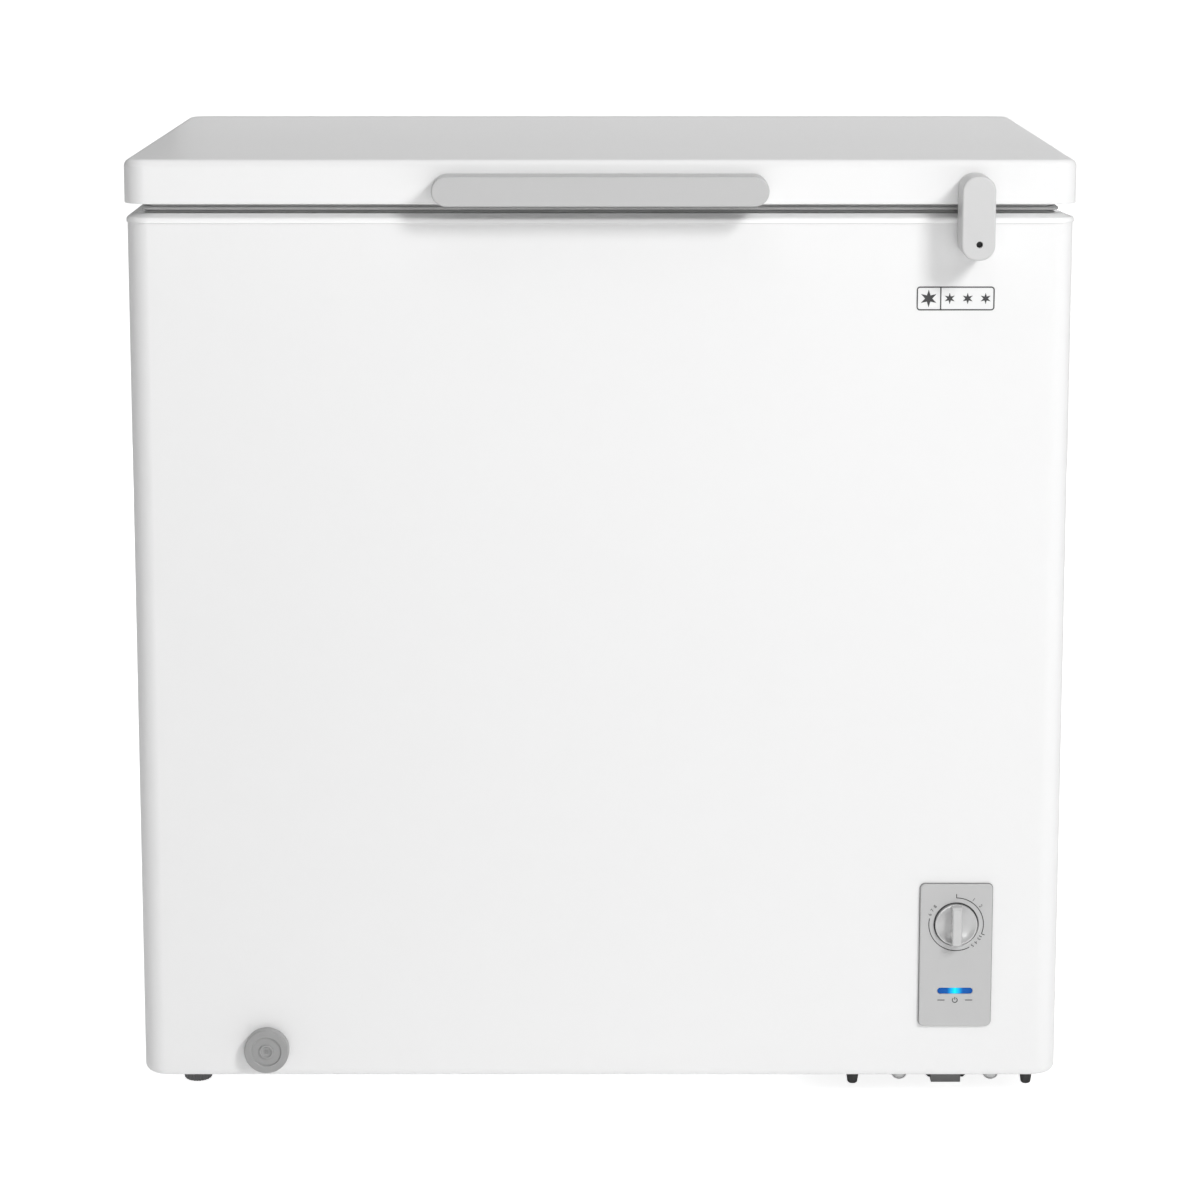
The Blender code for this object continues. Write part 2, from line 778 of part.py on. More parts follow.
def make_rear_cover():
    """The louvred cover over the compressor compartment and the gland for the mains lead."""
    y0 = BACK_FACE_Y + GAP
    cover = block(
        "rear_cover", (0.195, y0, 0.036), (0.384, y0 + 0.003, 0.265), "galvanised", radius=0.008, axis=1
    )
    slots = []
    for row in range(9):
        low_z = 0.105 + 0.016 * row
        for low_x in (0.214, 0.296):
            slots.append(((low_x, y0 - 0.01, low_z), (low_x + 0.068, y0 + 0.02, low_z + 0.006)))
    cut(cover, many_blocks("louvres", slots), cylinder("gland_hole", (0.235, y0, 0.065), 0.0073, 0.02, "Y"))
    turned(
        "cable_gland",
        [(0.0, 0.0115), (0.0065, 0.0115), (0.0085, 0.0085), (0.0095, 0.0045), (0.0105, 0.0033)]
        + [(0.0070, 0.0033), (0.0070, -0.0100), (0.0, -0.0100)],
        (0.235, y0, 0.065),
        axis="Y",
        finish="dark_plastic",
        steps=24,
    )


def make_drain():
    """The drain from the tank's floor to the front: its spout, the front cap and the plug inside."""
    spout = as_mesh(tube("drain_spout", drain_route(BODY_FRONT_Y, 0.0848), DRAIN_TUBE_R), "white_plastic")
    bore = as_mesh(tube("spout_bore", drain_route(BODY_FRONT_Y - 0.02, 0.12), DRAIN_BORE_R))
    cut(spout, bore)
    r = DRAIN_CAP_R
    turned(
        "drain_cap",
        [(0.0, 0.0106), (0.0055, 0.0106), (0.0055, 0.0096), (r - 0.0070, 0.0096), (r - 0.0066, 0.0106)]
        + [(r - 0.0020, 0.0106), (r, 0.0088), (r, 0.0), (DRAIN_STEM_R, 0.0)]
        + [(DRAIN_STEM_R - 0.0005, -0.014), (0.0, -0.014)],
        (DRAIN_X, BODY_FRONT_Y - GAP, DRAIN_Z),
        axis="-Y",
        finish="grey_plastic",
        steps=32,
    )
    turned(
        "drain_plug",
        [(0.0, 0.0090), (0.0035, 0.0085), (0.0045, 0.0045), (0.0130, 0.0035), (0.0135, 0.0005), (0.0132, 0.0)]
        + [(DRAIN_STEM_R, 0.0), (DRAIN_STEM_R - 0.0005, -0.0120), (0.0, -0.0120)],
        (DRAIN_X, DRAIN_Y, TANK_FLOOR_Z + GAP),
        finish="black_rubber",
        steps=16,
    )


# Basket


def make_basket():
    """The storage basket, whose hooks rest on the front and back of the collar."""
    (x0, x1), (y0, y1), (z0, z1) = BASKET_X, BASKET_Y, BASKET_Z
    wall = BASKET_WALL
    basket = block("basket", (x0, y0, z0), (x1, y1, z1), "coated_wire", radius=0.006, segments=2)
    inside = block("basket_inside", (x0 + wall, y0 + wall, z0 + wall), (x1 - wall, y1 - wall, z1 + 0.1))
    low, high = z0 + 0.012, z1 - 0.016
    windows = [
        ((x0 + 0.016 + 0.031 * i, y0 - 0.1, low), (x0 + 0.032 + 0.031 * i, y1 + 0.1, high)) for i in range(6)
    ]
    ends = [
        ((x0 - 0.1, y0 + 0.014 + 0.0387 * i, low), (x1 + 0.1, y0 + 0.034 + 0.0387 * i, high))
        for i in range(10)
    ]
    floor = [
        ((x0 + 0.014, y0 + 0.014 + 0.0387 * i, z0 - 0.1), (x1 - 0.014, y0 + 0.034 + 0.0387 * i, z0 + 0.006))
        for i in range(10)
    ]
    cut(basket, inside, many_blocks("basket_windows", windows), many_blocks("basket_ends", ends))
    cut(basket, many_blocks("basket_floor", floor))
    hang_z = COLLAR_TOP_Z + 0.0005
    for side, face, reach in (("front", y0, -0.024), ("rear", y1, 0.024)):
        inner = face - math.copysign(wall, reach)
        for i, x in enumerate((x0 + 0.025, x1 - 0.025), 1):
            left, right = x - 0.007, x + 0.007
            strip_low, strip_high = sorted((inner, face))
            tab_low, tab_high = sorted((inner, face + reach))
            strip = block(
                f"hook_{side}_{i}", (left, strip_low, z1 - 0.008), (right, strip_high, hang_z + 0.001)
            )
            tab = block(f"hook_tab_{side}_{i}", (left, tab_low, hang_z), (right, tab_high, hang_z + 0.0025))
            join(basket, strip, tab)


# Lid


def make_lid():
    """The lid: a white steel skin, its insulation, the inner panel with its plug, and the seal."""
    low = (-LID_HALF_W, LID_FRONT_Y, LID_BOTTOM_Z)
    high = (LID_HALF_W, LID_BACK_Y, LID_TOP_Z)
    skin = block_mesh("lid_outer_skin", low, high, radius=CORNER_R, segments=8, top=LID_EDGE_R)
    sheet_shell("lid_outer_skin", skin, LID_SKIN, open_side=-1.0)

    inset = LID_SKIN + 0.0005
    panel_low_z = LID_BOTTOM_Z + GAP
    panel = block(
        "lid_inner_panel",
        (-LID_HALF_W + inset, LID_FRONT_Y + inset, panel_low_z),
        (LID_HALF_W - inset, LID_BACK_Y - inset, panel_low_z + PANEL),
        "white_plastic",
        radius=CORNER_R,
    )
    plug = block(
        "panel_plug",
        (-PLUG_HALF_W, PLUG_FRONT_Y, PLUG_BOTTOM_Z),
        (PLUG_HALF_W, PLUG_BACK_Y, panel_low_z + PANEL * 0.6),
        radius=0.015,
        bottom=0.006,
    )
    hollow = block(
        "plug_hollow",
        (-PLUG_HALF_W + PANEL, PLUG_FRONT_Y + PANEL, PLUG_BOTTOM_Z + PANEL),
        (PLUG_HALF_W - PANEL, PLUG_BACK_Y - PANEL, 0.9),
        radius=0.0135,
        bottom=0.0045,
    )
    join(panel, plug)
    cut(panel, hollow)

    foam_low = panel_low_z + PANEL + GAP
    foam = block(
        "lid_foam",
        (-LID_HALF_W + inset, LID_FRONT_Y + inset, foam_low),
        (LID_HALF_W - inset, LID_BACK_Y - inset, LID_TOP_Z - LID_SKIN - GAP),
        "foam",
        radius=CORNER_R,
        top=0.007,
    )
    fill = PANEL + 0.001
    join(
        foam,
        block(
            "foam_fill",
            (-PLUG_HALF_W + fill, PLUG_FRONT_Y + fill, PLUG_BOTTOM_Z + fill),
            (PLUG_HALF_W - fill, PLUG_BACK_Y - fill, foam_low + 0.005),
            radius=0.013,
            bottom=0.006,
        ),
    )

    near = GASKET_INSET
    far = GASKET_INSET + GASKET_W
    gasket = block(
        "lid_gasket",
        (-LID_HALF_W + near, LID_FRONT_Y + near, COLLAR_TOP_Z + GAP),
        (LID_HALF_W - near, LID_BACK_Y - near, LID_BOTTOM_Z),
        "gasket_rubber",
        radius=0.010,
    )
    ring = block(
        "gasket_ring",
        (-LID_HALF_W + far, LID_FRONT_Y + far, 0.7),
        (LID_HALF_W - far, LID_BACK_Y - far, 0.9),
        radius=0.005,
    )
    cut(gasket, ring)


def make_handle():
    """The grab bar on the lid's front, open underneath for the fingers."""
    low_z, high_z = HANDLE_Z
    handle = block(
        "lid_handle",
        (-HANDLE_HALF_L, HANDLE_FRONT_Y, low_z),
        (HANDLE_HALF_L, LID_FRONT_Y - GAP, high_z),
        "grey_plastic",
        radius=(high_z - low_z) * 0.495,
        axis=1,
        segments=8,
    )
    pocket = block(
        "handle_pocket",
        (-HANDLE_HALF_L + 0.012, HANDLE_FRONT_Y + 0.004, low_z - 0.02),
        (HANDLE_HALF_L - 0.012, LID_FRONT_Y + 0.02, high_z - 0.004),
    )
    cut(handle, pocket)


def make_lock():
    """The lock's housing on the lid, the cylinder with its cam, and the keeper on the cabinet."""
    low_z, high_z = LOCK_Z
    housing = block(
        "lock_housing",
        (LOCK_X - LOCK_HALF_W, LOCK_FRONT_Y, low_z),
        (LOCK_X + LOCK_HALF_W, LID_FRONT_Y - GAP, high_z),
        "grey_plastic",
        radius=0.013,
        axis=1,
        segments=6,
    )
    cavity = block(
        "lock_cavity",
        (LOCK_X - LOCK_HALF_W + 0.0025, -0.290, low_z - 0.02),
        (LOCK_X + LOCK_HALF_W - 0.0025, -0.250, LID_BOTTOM_Z),
    )
    keyhole = cylinder("keyhole", (KEY_X, LOCK_FRONT_Y, KEY_Z), 0.0029, 0.02, "Y")
    barrel_bore = cylinder("barrel_bore", (KEY_X, -0.292, KEY_Z), 0.0058, 0.022, "Y")
    cut(housing, cavity, keyhole, barrel_bore)
    cylinder_body = turned(
        "lock_cylinder",
        [(0.0, 0.0095), (0.0050, 0.0095), (0.0055, 0.0090), (0.0055, -0.0070), (0.0, -0.0070)],
        (KEY_X, -0.290, KEY_Z),
        axis="-Y",
        finish="steel",
        steps=32,
    )
    cam = block(
        "lock_cam", (KEY_X - 0.0028, -0.2840, KEY_Z - 0.0095), (KEY_X + 0.0028, -0.2803, KEY_Z + 0.0028)
    )
    slit = block(
        "key_slit", (KEY_X - 0.0005, -0.310, KEY_Z - 0.0022), (KEY_X + 0.0005, -0.292, KEY_Z + 0.0022)
    )
    join(cylinder_body, cam)
    cut(cylinder_body, slit)
    keeper = block(
        "lock_keeper",
        (KEY_X - 0.010, BODY_FRONT_Y - 0.0023, 0.7720),
        (KEY_X + 0.009, BODY_FRONT_Y - GAP, 0.7920),
        "steel",
        radius=0.002,
        axis=1,
    )
    join(keeper, block("keeper_lip", (KEY_X + 0.004, -0.2822, 0.7845), (KEY_X + 0.009, -0.2690, 0.7872)))


def make_hinge(side, x):
    """One hinge: case, pin, arm with its cam, plunger and coil spring."""
    case_centre = (PIVOT_Y, PIVOT_Z)
    top_r = CASE_BACK_Y - PIVOT_Y
    cheek = [(PIVOT_Y - top_r, CASE_BOTTOM_Z), (CASE_BACK_Y, CASE_BOTTOM_Z)] + arc(
        case_centre, top_r, 0.0, math.pi, 12
    )
    case = as_mesh(outline(f"hinge_case_{side}", cheek, 2 * CASE_HALF_W), "galvanised")
    shift_to(case, x)
    room = CASE_HALF_W - CASE_SHEET
    hollow = block(
        f"case_hollow_{side}",
        (x - room, PIVOT_Y - top_r + CASE_SHEET, CASE_BOTTOM_Z + CASE_SHEET),
        (x + room, CASE_BACK_Y + 0.02, PIVOT_Z + 0.03),
    )
    window = block(f"case_window_{side}", (x - room, 0.25, 0.789), (x + room, 0.33, PIVOT_Z + 0.03))
    pin_hole = cylinder(f"pin_hole_{side}", (x, PIVOT_Y, PIVOT_Z), PIN_R + GAP, 0.06, "X")
    cut(case, hollow, window, pin_hole)

    pin_length = 2 * CASE_HALF_W + 0.006
    cylinder(f"hinge_pin_{side}", (x, PIVOT_Y, PIVOT_Z), PIN_R, pin_length, "X", "steel", segments=24)

    cam = [
        (CAM_R - CAM_DROP_PER_RAD * max(a, 0.0), a - math.pi / 2)
        for a in [-0.2 + (CAM_SWEEP + 0.2) * i / 14 for i in range(15)]
    ]
    low_r = cam[-1][0]
    rim = [(PIVOT_Y + r * math.cos(a), PIVOT_Z + r * math.sin(a)) for r, a in cam]
    rim += arc(case_centre, low_r, 0.0, math.pi / 2, 5)[1:]
    leaf_y = (LID_BACK_Y + GAP, LID_BACK_Y + 0.0033)
    rim += [(leaf_y[1], PIVOT_Z + 0.0095), (leaf_y[1], 0.8430), (leaf_y[0], 0.8430), (leaf_y[0], 0.8130)]
    rim += [(PIVOT_Y - 0.0070, PIVOT_Z - 0.0015)]
    arm = as_mesh(outline(f"hinge_arm_{side}", rim, 2 * (room - 0.0010)), "galvanised")
    shift_to(arm, x)
    cut(arm, cylinder(f"arm_bore_{side}", (x, PIVOT_Y, PIVOT_Z), PIN_R + GAP, 0.06, "X", segments=24))

    nose = PIVOT_Z - CAM_R - CAM_CLEARANCE
    turned(
        f"hinge_plunger_{side}",
        [(0.0, nose), (0.0010, nose - 0.0002), (0.0019, nose - 0.0009), (0.0025, nose - 0.0025)]
        + [(0.0025, nose - 0.0040), (0.0090, nose - 0.0060), (0.0095, nose - 0.0070)]
        + [(0.0095, SPRING_TOP_Z + GAP), (0.0042, SPRING_TOP_Z + GAP), (0.0042, 0.7400), (0.0, 0.7400)],
        (x, PIVOT_Y, 0.0),
        finish="dark_plastic",
        steps=24,
    )

    wire, radius, turns, per_turn = 0.0010, 0.0072, 6, 8
    low = CASE_BOTTOM_Z + CASE_SHEET + GAP + wire
    rise = SPRING_TOP_Z - wire - low
    steps = turns * per_turn
    helix = [
        (
            x + radius * math.cos(2 * math.pi * i / per_turn),
            PIVOT_Y + radius * math.sin(2 * math.pi * i / per_turn),
            low + rise * i / steps,
        )
        for i in range(steps + 1)
    ]
    tube(f"hinge_spring_{side}", helix, wire, "steel")


# Feet


def make_feet():
    """Levelling feet on the left, and under the compressor a rail with skid feet, stubs and bolts."""
    for end, (x, y) in FOOT_XY.items():
        turned(
            f"levelling_foot_{end}",
            [(0.0, 0.045), (0.0040, 0.045), (0.0040, 0.0205), (FOOT_R - 0.003, 0.0205)]
            + [(FOOT_R - 0.002, 0.0195), (FOOT_R, 0.0050), (FOOT_R - 0.0012, 0.0), (0.0, 0.0)],
            (x, y, 0.0),
            finish="dark_plastic",
            steps=20,
        )
    top = FLOOR_PLATE_Z - GAP
    half_l = 0.2320
    rail_mid_y = 0.010
    rail = block(
        "skid_rail",
        (RAIL_X - 0.0245, rail_mid_y - half_l, 0.0050),
        (RAIL_X + 0.0245, rail_mid_y + half_l, top),
        "black_paint",
        radius=0.0085,
        axis=1,
        segments=1,
    )
    square_top = block(
        "rail_square_top",
        (RAIL_X - 0.0245, rail_mid_y - half_l, 0.0140),
        (RAIL_X + 0.0245, rail_mid_y + half_l, top),
    )
    slot = block(
        "rail_slot",
        (RAIL_X - SKID_HALF_W - GAP, rail_mid_y - half_l - 0.01, -0.01),
        (RAIL_X + SKID_HALF_W + GAP, rail_mid_y + half_l + 0.01, 0.0183),
    )
    join(rail, square_top)
    cut(rail, slot)
    for end, middle in (("front", rail_mid_y - half_l + 0.019), ("rear", rail_mid_y + half_l - 0.019)):
        block(
            f"skid_foot_{end}",
            (RAIL_X - SKID_HALF_W, middle - 0.020, 0.0),
            (RAIL_X + SKID_HALF_W, middle + 0.020, 0.0180),
            "grey_plastic",
            bottom=0.001,
        )
    for side, x in STUB_XS.items():
        turned(
            f"rubber_stub_{side}",
            [(0.0, top), (0.0065, top), (0.0065, 0.0200), (0.0045, 0.0070), (0.0035, 0.0060), (0.0, 0.0060)],
            (x, STUB_Y, 0.0),
            finish="black_rubber",
            steps=12,
        )
    for side, x in BOLT_XS.items():
        dome = [(BOLT_R * r, 0.0160 - 0.0065 * drop) for r, drop in arc((0.0, 0.0), 1.0, 0.0, math.pi / 2, 4)]
        turned(
            f"base_bolt_{side}",
            [(0.0, top), (BOLT_R, top)] + dome[:-1] + [(0.0, 0.0095)],
            (x, STUB_Y, 0.0),
            finish="steel",
            steps=12,
        )


def hang_lid():
    """Parent the lid's pieces to an empty on the hinge axis: turning it about X opens the lid."""
    axis = bpy.data.objects.new("lid_axis", None)
    PIECES.objects.link(axis)
    axis.location = (0.0, PIVOT_Y, PIVOT_Z)
    bpy.context.view_layer.update()
    for name in LID_PIECES:
        follow(bpy.data.objects[name], axis)


def main():
    make_outer_shell()
    make_back_panel()
    make_bottom_pan()
    make_inner_liner()
    make_foam()
    make_collar()
    make_compartment()
    make_compressor()
    make_condenser()
    make_evaporator()
    make_pipes()
    make_controls()
    make_rear_cover()
    make_drain()
    make_basket()
    make_lid()
    make_handle()
    make_lock()
    for side, x in HINGE_XS.items():
        make_hinge(side, x)
    make_feet()
    hang_lid()


main()
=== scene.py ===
"""The looks of the chest freezer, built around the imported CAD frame. Metres, +Z up, front towards -Y."""

import json
import math

import bmesh
import bpy
from mathutils import Matrix, Vector


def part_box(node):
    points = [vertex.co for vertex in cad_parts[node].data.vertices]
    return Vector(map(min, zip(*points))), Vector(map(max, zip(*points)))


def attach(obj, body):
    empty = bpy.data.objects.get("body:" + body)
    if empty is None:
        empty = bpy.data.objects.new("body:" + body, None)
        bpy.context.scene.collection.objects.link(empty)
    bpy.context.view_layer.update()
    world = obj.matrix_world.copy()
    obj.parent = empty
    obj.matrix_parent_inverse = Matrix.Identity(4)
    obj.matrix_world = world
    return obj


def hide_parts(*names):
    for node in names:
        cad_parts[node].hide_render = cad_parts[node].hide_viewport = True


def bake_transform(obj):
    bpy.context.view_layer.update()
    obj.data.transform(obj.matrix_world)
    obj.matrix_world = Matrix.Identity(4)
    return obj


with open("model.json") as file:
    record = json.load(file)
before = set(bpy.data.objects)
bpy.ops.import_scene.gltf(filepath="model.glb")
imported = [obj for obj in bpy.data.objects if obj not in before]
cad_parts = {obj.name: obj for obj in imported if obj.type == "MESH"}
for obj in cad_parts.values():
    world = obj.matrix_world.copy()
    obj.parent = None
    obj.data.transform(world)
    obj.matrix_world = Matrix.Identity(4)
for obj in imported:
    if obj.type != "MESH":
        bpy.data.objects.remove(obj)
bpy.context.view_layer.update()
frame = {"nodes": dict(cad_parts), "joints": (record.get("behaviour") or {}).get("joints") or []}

SHELL_LOW, SHELL_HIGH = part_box("outer_shell")
LID_LOW, LID_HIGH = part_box("lid_outer_skin")
COLLAR_LOW, COLLAR_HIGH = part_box("top_collar")
PANEL_LOW, PANEL_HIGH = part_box("lid_inner_panel")
PLATE_LOW, PLATE_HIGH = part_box("control_panel")
KNOB_LOW, KNOB_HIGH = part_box("thermostat_knob")
LENS_LOW, LENS_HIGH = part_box("power_light_lens")
CAP_LOW, CAP_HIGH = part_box("drain_cap")
HANDLE_LOW, HANDLE_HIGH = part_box("lid_handle")
LOCK_LOW, LOCK_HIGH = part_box("lock_housing")
BASKET_LOW, BASKET_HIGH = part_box("basket")
JOINTS = {joint["name"]: joint for joint in frame["joints"]}

SIDES = ("left", "right")
FRONT_Y = SHELL_LOW.y
CORNER_R = 0.020  # upright corners of cabinet and lid
ARC_STEPS = 10
SHARP_DEG = 32.0  # edges sharper than this stay sharp in the shading
WELD = 0.00001
PRINT_THICK = 0.00012


# Meshes


def finish_mesh(name, bm, material, sharp=SHARP_DEG):
    """Turn a bmesh into a smooth shaded object with its faces pointing out."""
    bmesh.ops.recalc_face_normals(bm, faces=bm.faces)
    mesh = bpy.data.meshes.new(name)
    bm.to_mesh(mesh)
    bm.free()
    mesh.shade_smooth()
    mesh.set_sharp_from_angle(angle=math.radians(sharp))
    mesh.materials.append(material)
    obj = bpy.data.objects.new(name, mesh)
    bpy.context.scene.collection.objects.link(obj)
    return obj


def even_normals(obj):
    """Keep big flat faces flat where they run into rounded edges."""
    weighted = obj.modifiers.new("even_normals", "WEIGHTED_NORMAL")
    weighted.keep_sharp = True
    weighted.weight = 80
    return obj


def rounded(low_a, high_a, low_b, high_b, radius, steps=ARC_STEPS):
    """A rounded rectangle as (a, b) points, running round once."""
    radius = max(min(radius, (high_a - low_a) / 2, (high_b - low_b) / 2), 0.0001) * 0.9999
    corners = (
        (high_a - radius, high_b - radius, 0),
        (low_a + radius, high_b - radius, 1),
        (low_a + radius, low_b + radius, 2),
        (high_a - radius, low_b + radius, 3),
    )
    points = []
    for a, b, quarters in corners:
        for i in range(steps + 1):
            angle = (quarters + i / steps) * math.pi / 2
            points.append((a + radius * math.cos(angle), b + radius * math.sin(angle)))
    return points


def loft(name, rings, material, closed=False, sharp=SHARP_DEG):
    """A skin over rings that have the same number of points, closed into a loop or capped at its ends."""
    bm = bmesh.new()
    loops = [[bm.verts.new(point) for point in ring] for ring in rings]
    pairs = list(zip(loops, loops[1:]))
    if closed:
        pairs.append((loops[-1], loops[0]))
    for first, second in pairs:
        for i in range(len(first)):
            j = (i + 1) % len(first)
            bm.faces.new((first[i], first[j], second[j], second[i]))
    if not closed:
        bm.faces.new(loops[0])
        bm.faces.new(loops[-1])
    return finish_mesh(name, bm, material, sharp)


def level_ring(low, high, inset, z, radius, inset_y=None):
    """A rounded rectangle lying flat at z, pulled in from a box's sides."""
    inset_y = inset if inset_y is None else inset_y
    flat = rounded(low.x + inset, high.x - inset, low.y + inset_y, high.y - inset_y, radius)
    return [(x, y, z) for x, y in flat]


def front_ring(low, high, inset, y, radius):
    """A rounded rectangle standing in the XZ plane at y, pulled in from a box's sides."""
    upright = rounded(low.x + inset, high.x - inset, low.z + inset, high.z - inset, radius - inset)
    return [(x, y, z) for x, z in upright]


def quarter(start, end, steps=6, bulge_first=True):
    """Points of a quarter ellipse from start to end, leaving start along the first or second coordinate."""
    points = []
    for i in range(steps + 1):
        angle = math.pi / 2 * i / steps
        grow, late = math.sin(angle), 1 - math.cos(angle)
        first, second = (grow, late) if bulge_first else (late, grow)
        points.append((start[0] + (end[0] - start[0]) * first, start[1] + (end[1] - start[1]) * second))
    return points


def turned(name, profile, centre, axis, material, steps=64, ripple=None):
    """A turned piece from (radius, height) points. ripple is (depth, count) of ribs round its side."""
    turn = Vector((0, 0, 1)).rotation_difference(Vector(axis)).to_matrix()
    side = 0.8 * max(radius for radius, height in profile)
    rings = []
    for radius, height in profile:
        ring = []
        for i in range(steps):
            angle = 2 * math.pi * i / steps
            r = max(radius, 2 * WELD)
            if ripple and radius > side:
                r += ripple[0] * math.cos(ripple[1] * angle)
            ring.append(Vector(centre) + turn @ Vector((r * math.cos(angle), r * math.sin(angle), height)))
        rings.append(ring)
    return loft(name, rings, material)


def centre_of(node):
    """The middle of a CAD node's box."""
    low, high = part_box(node)
    return (low + high) / 2


def box_mesh(name, low, high, material, bevel=0.0):
    """A box between two corners, with rounded edges if bevel is given."""
    bm = bmesh.new()
    size = Vector(high) - Vector(low)
    middle = (Vector(high) + Vector(low)) / 2
    bmesh.ops.create_cube(bm, size=1.0, matrix=Matrix.LocRotScale(middle, None, size))
    if bevel:
        bmesh.ops.bevel(
            bm,
            geom=list(bm.edges),
            offset=bevel,
            offset_type="OFFSET",
            segments=3,
            profile=0.5,
            affect="EDGES",
        )
    return finish_mesh(name, bm, material)


def bake(obj):
    """Apply an object's modifiers to its mesh."""
    graph = bpy.context.evaluated_depsgraph_get()
    mesh = bpy.data.meshes.new_from_object(obj.evaluated_get(graph))
    obj.modifiers.clear()
    obj.data = mesh
    return obj


def carve(target, *tools, operation="DIFFERENCE"):
    """Cut tools out of a piece, join them to it or keep what they share, and remove the tools."""
    for tool in tools:
        step = target.modifiers.new("carve", "BOOLEAN")
        step.operation = operation
        step.object = tool
    bpy.context.view_layer.update()
    bake(target)
    for tool in tools:
        bpy.data.objects.remove(tool, do_unlink=True)
    target.data.shade_smooth()
    target.data.set_sharp_from_angle(angle=math.radians(SHARP_DEG))
    return target


def joined(name, pieces):
    """Several loose pieces as one object."""
    bm = bmesh.new()
    for piece in pieces:
        bm.from_mesh(piece.data)
    material = pieces[0].data.materials[0]
    for piece in pieces:
        bpy.data.objects.remove(piece, do_unlink=True)
    return finish_mesh(name, bm, material)


def wires(name, routes, radius, material, cyclic=False, sides=3):
    """Round wires along several routes, as one curve."""
    curve = bpy.data.curves.new(name, "CURVE")
    curve.dimensions = "3D"
    curve.bevel_depth = radius
    curve.bevel_resolution = sides
    curve.use_fill_caps = True
    for route in routes:
        spline = curve.splines.new("POLY")
        spline.points.add(len(route) - 1)
        for slot, point in zip(spline.points, route):
            slot.co = (*point, 1.0)
        spline.use_cyclic_u = cyclic
    obj = bpy.data.objects.new(name, curve)
    bpy.context.scene.collection.objects.link(obj)
    curve.materials.append(material)
    return obj


def welded(source):
    """A curve's or a text's mesh, with its caps joined to its sides. The source is removed."""
    bpy.context.view_layer.update()
    graph = bpy.context.evaluated_depsgraph_get()
    mesh = bpy.data.meshes.new_from_object(source.evaluated_get(graph))
    bpy.data.objects.remove(source, do_unlink=True)
    bm = bmesh.new()
    bm.from_mesh(mesh)
    bmesh.ops.remove_doubles(bm, verts=bm.verts, dist=WELD)
    return bm


def bent(points, radius, steps=6):
    """A route with its corners rounded."""
    corners = [Vector(point) for point in points]
    route = [corners[0]]
    for before, corner, after in zip(corners, corners[1:], corners[2:]):
        start = corner + (before - corner).normalized() * radius
        end = corner + (after - corner).normalized() * radius
        for i in range(steps + 1):
            t = i / steps
            route.append(start * (1 - t) ** 2 + corner * 2 * t * (1 - t) + end * t**2)
    return route + [corners[-1]]


# Materials


class Finish:
    """A Principled material whose colour, gloss and surface vary with noise in object space."""

    def __init__(self, name, colour, roughness, metallic=0.0, coat=0.0):
        self.material = bpy.data.materials.new(name)
        self.material.use_nodes = True
        self.nodes = self.material.node_tree.nodes
        self.links = self.material.node_tree.links
        self.shader = self.nodes["Principled BSDF"]
        self.colour = colour
        self.roughness = roughness
        self.shader.inputs["Metallic"].default_value = metallic
        self.shader.inputs["Coat Weight"].default_value = coat
        self.shader.inputs["Coat Roughness"].default_value = 0.12
        self.coords = self.nodes.new("ShaderNodeTexCoord")

    def noise(self, scale, detail=3.0, stretch=(1.0, 1.0, 1.0)):
        """Soft noise, drawn out along the axes whose stretch is small."""
        mapping = self.nodes.new("ShaderNodeMapping")
        mapping.inputs["Scale"].default_value = stretch
        noise = self.nodes.new("ShaderNodeTexNoise")
        noise.inputs["Scale"].default_value = scale
        noise.inputs["Detail"].default_value = detail
        self.links.new(self.coords.outputs["Object"], mapping.inputs["Vector"])
        self.links.new(mapping.outputs["Vector"], noise.inputs["Vector"])
        return noise.outputs["Fac"]

    def cells(self, scale):
        """Cells of one grey each, like spangle or foam."""
        cells = self.nodes.new("ShaderNodeTexVoronoi")
        cells.inputs["Scale"].default_value = scale
        self.links.new(self.coords.outputs["Object"], cells.inputs["Vector"])
        grey = self.nodes.new("ShaderNodeRGBToBW")
        self.links.new(cells.outputs["Color"], grey.inputs["Color"])
        return grey.outputs["Val"]

    def tone(self, source, spread):
        """Vary the colour by a share either way."""
        ramp = self.nodes.new("ShaderNodeValToRGB")
        for element, factor in zip(ramp.color_ramp.elements, (1 - spread, 1 + spread)):
            element.color = (*[min(c * factor, 1.0) for c in self.colour], 1.0)
        self.links.new(source, ramp.inputs["Fac"])
        self.links.new(ramp.outputs["Color"], self.shader.inputs["Base Color"])
        return self

    def gloss(self, source, spread):
        """Vary the roughness by a share either way."""
        remap = self.nodes.new("ShaderNodeMapRange")
        remap.clamp = False
        remap.inputs["To Min"].default_value = self.roughness * (1 - spread)
        remap.inputs["To Max"].default_value = self.roughness * (1 + spread)
        self.links.new(source, remap.inputs["Value"])
        self.links.new(remap.outputs["Result"], self.shader.inputs["Roughness"])
        return self

    def relief(self, source, strength, distance):
        """Fine bumps in the surface."""
        bump = self.nodes.new("ShaderNodeBump")
        bump.inputs["Strength"].default_value = strength
        bump.inputs["Distance"].default_value = distance
        self.links.new(source, bump.inputs["Height"])
        self.links.new(bump.outputs["Normal"], self.shader.inputs["Normal"])
        return self


def enamel(name, colour, roughness=0.36):
    """Powder coated sheet: gloss with a faint orange peel."""
    paint = Finish(name, colour, roughness, coat=0.08)
    paint.tone(paint.noise(4.0, 0.0), 0.002)
    paint.gloss(paint.noise(5.0, 0.0), 0.03)
    return paint.relief(paint.noise(180.0, 0.0), 0.01, 0.00005).material


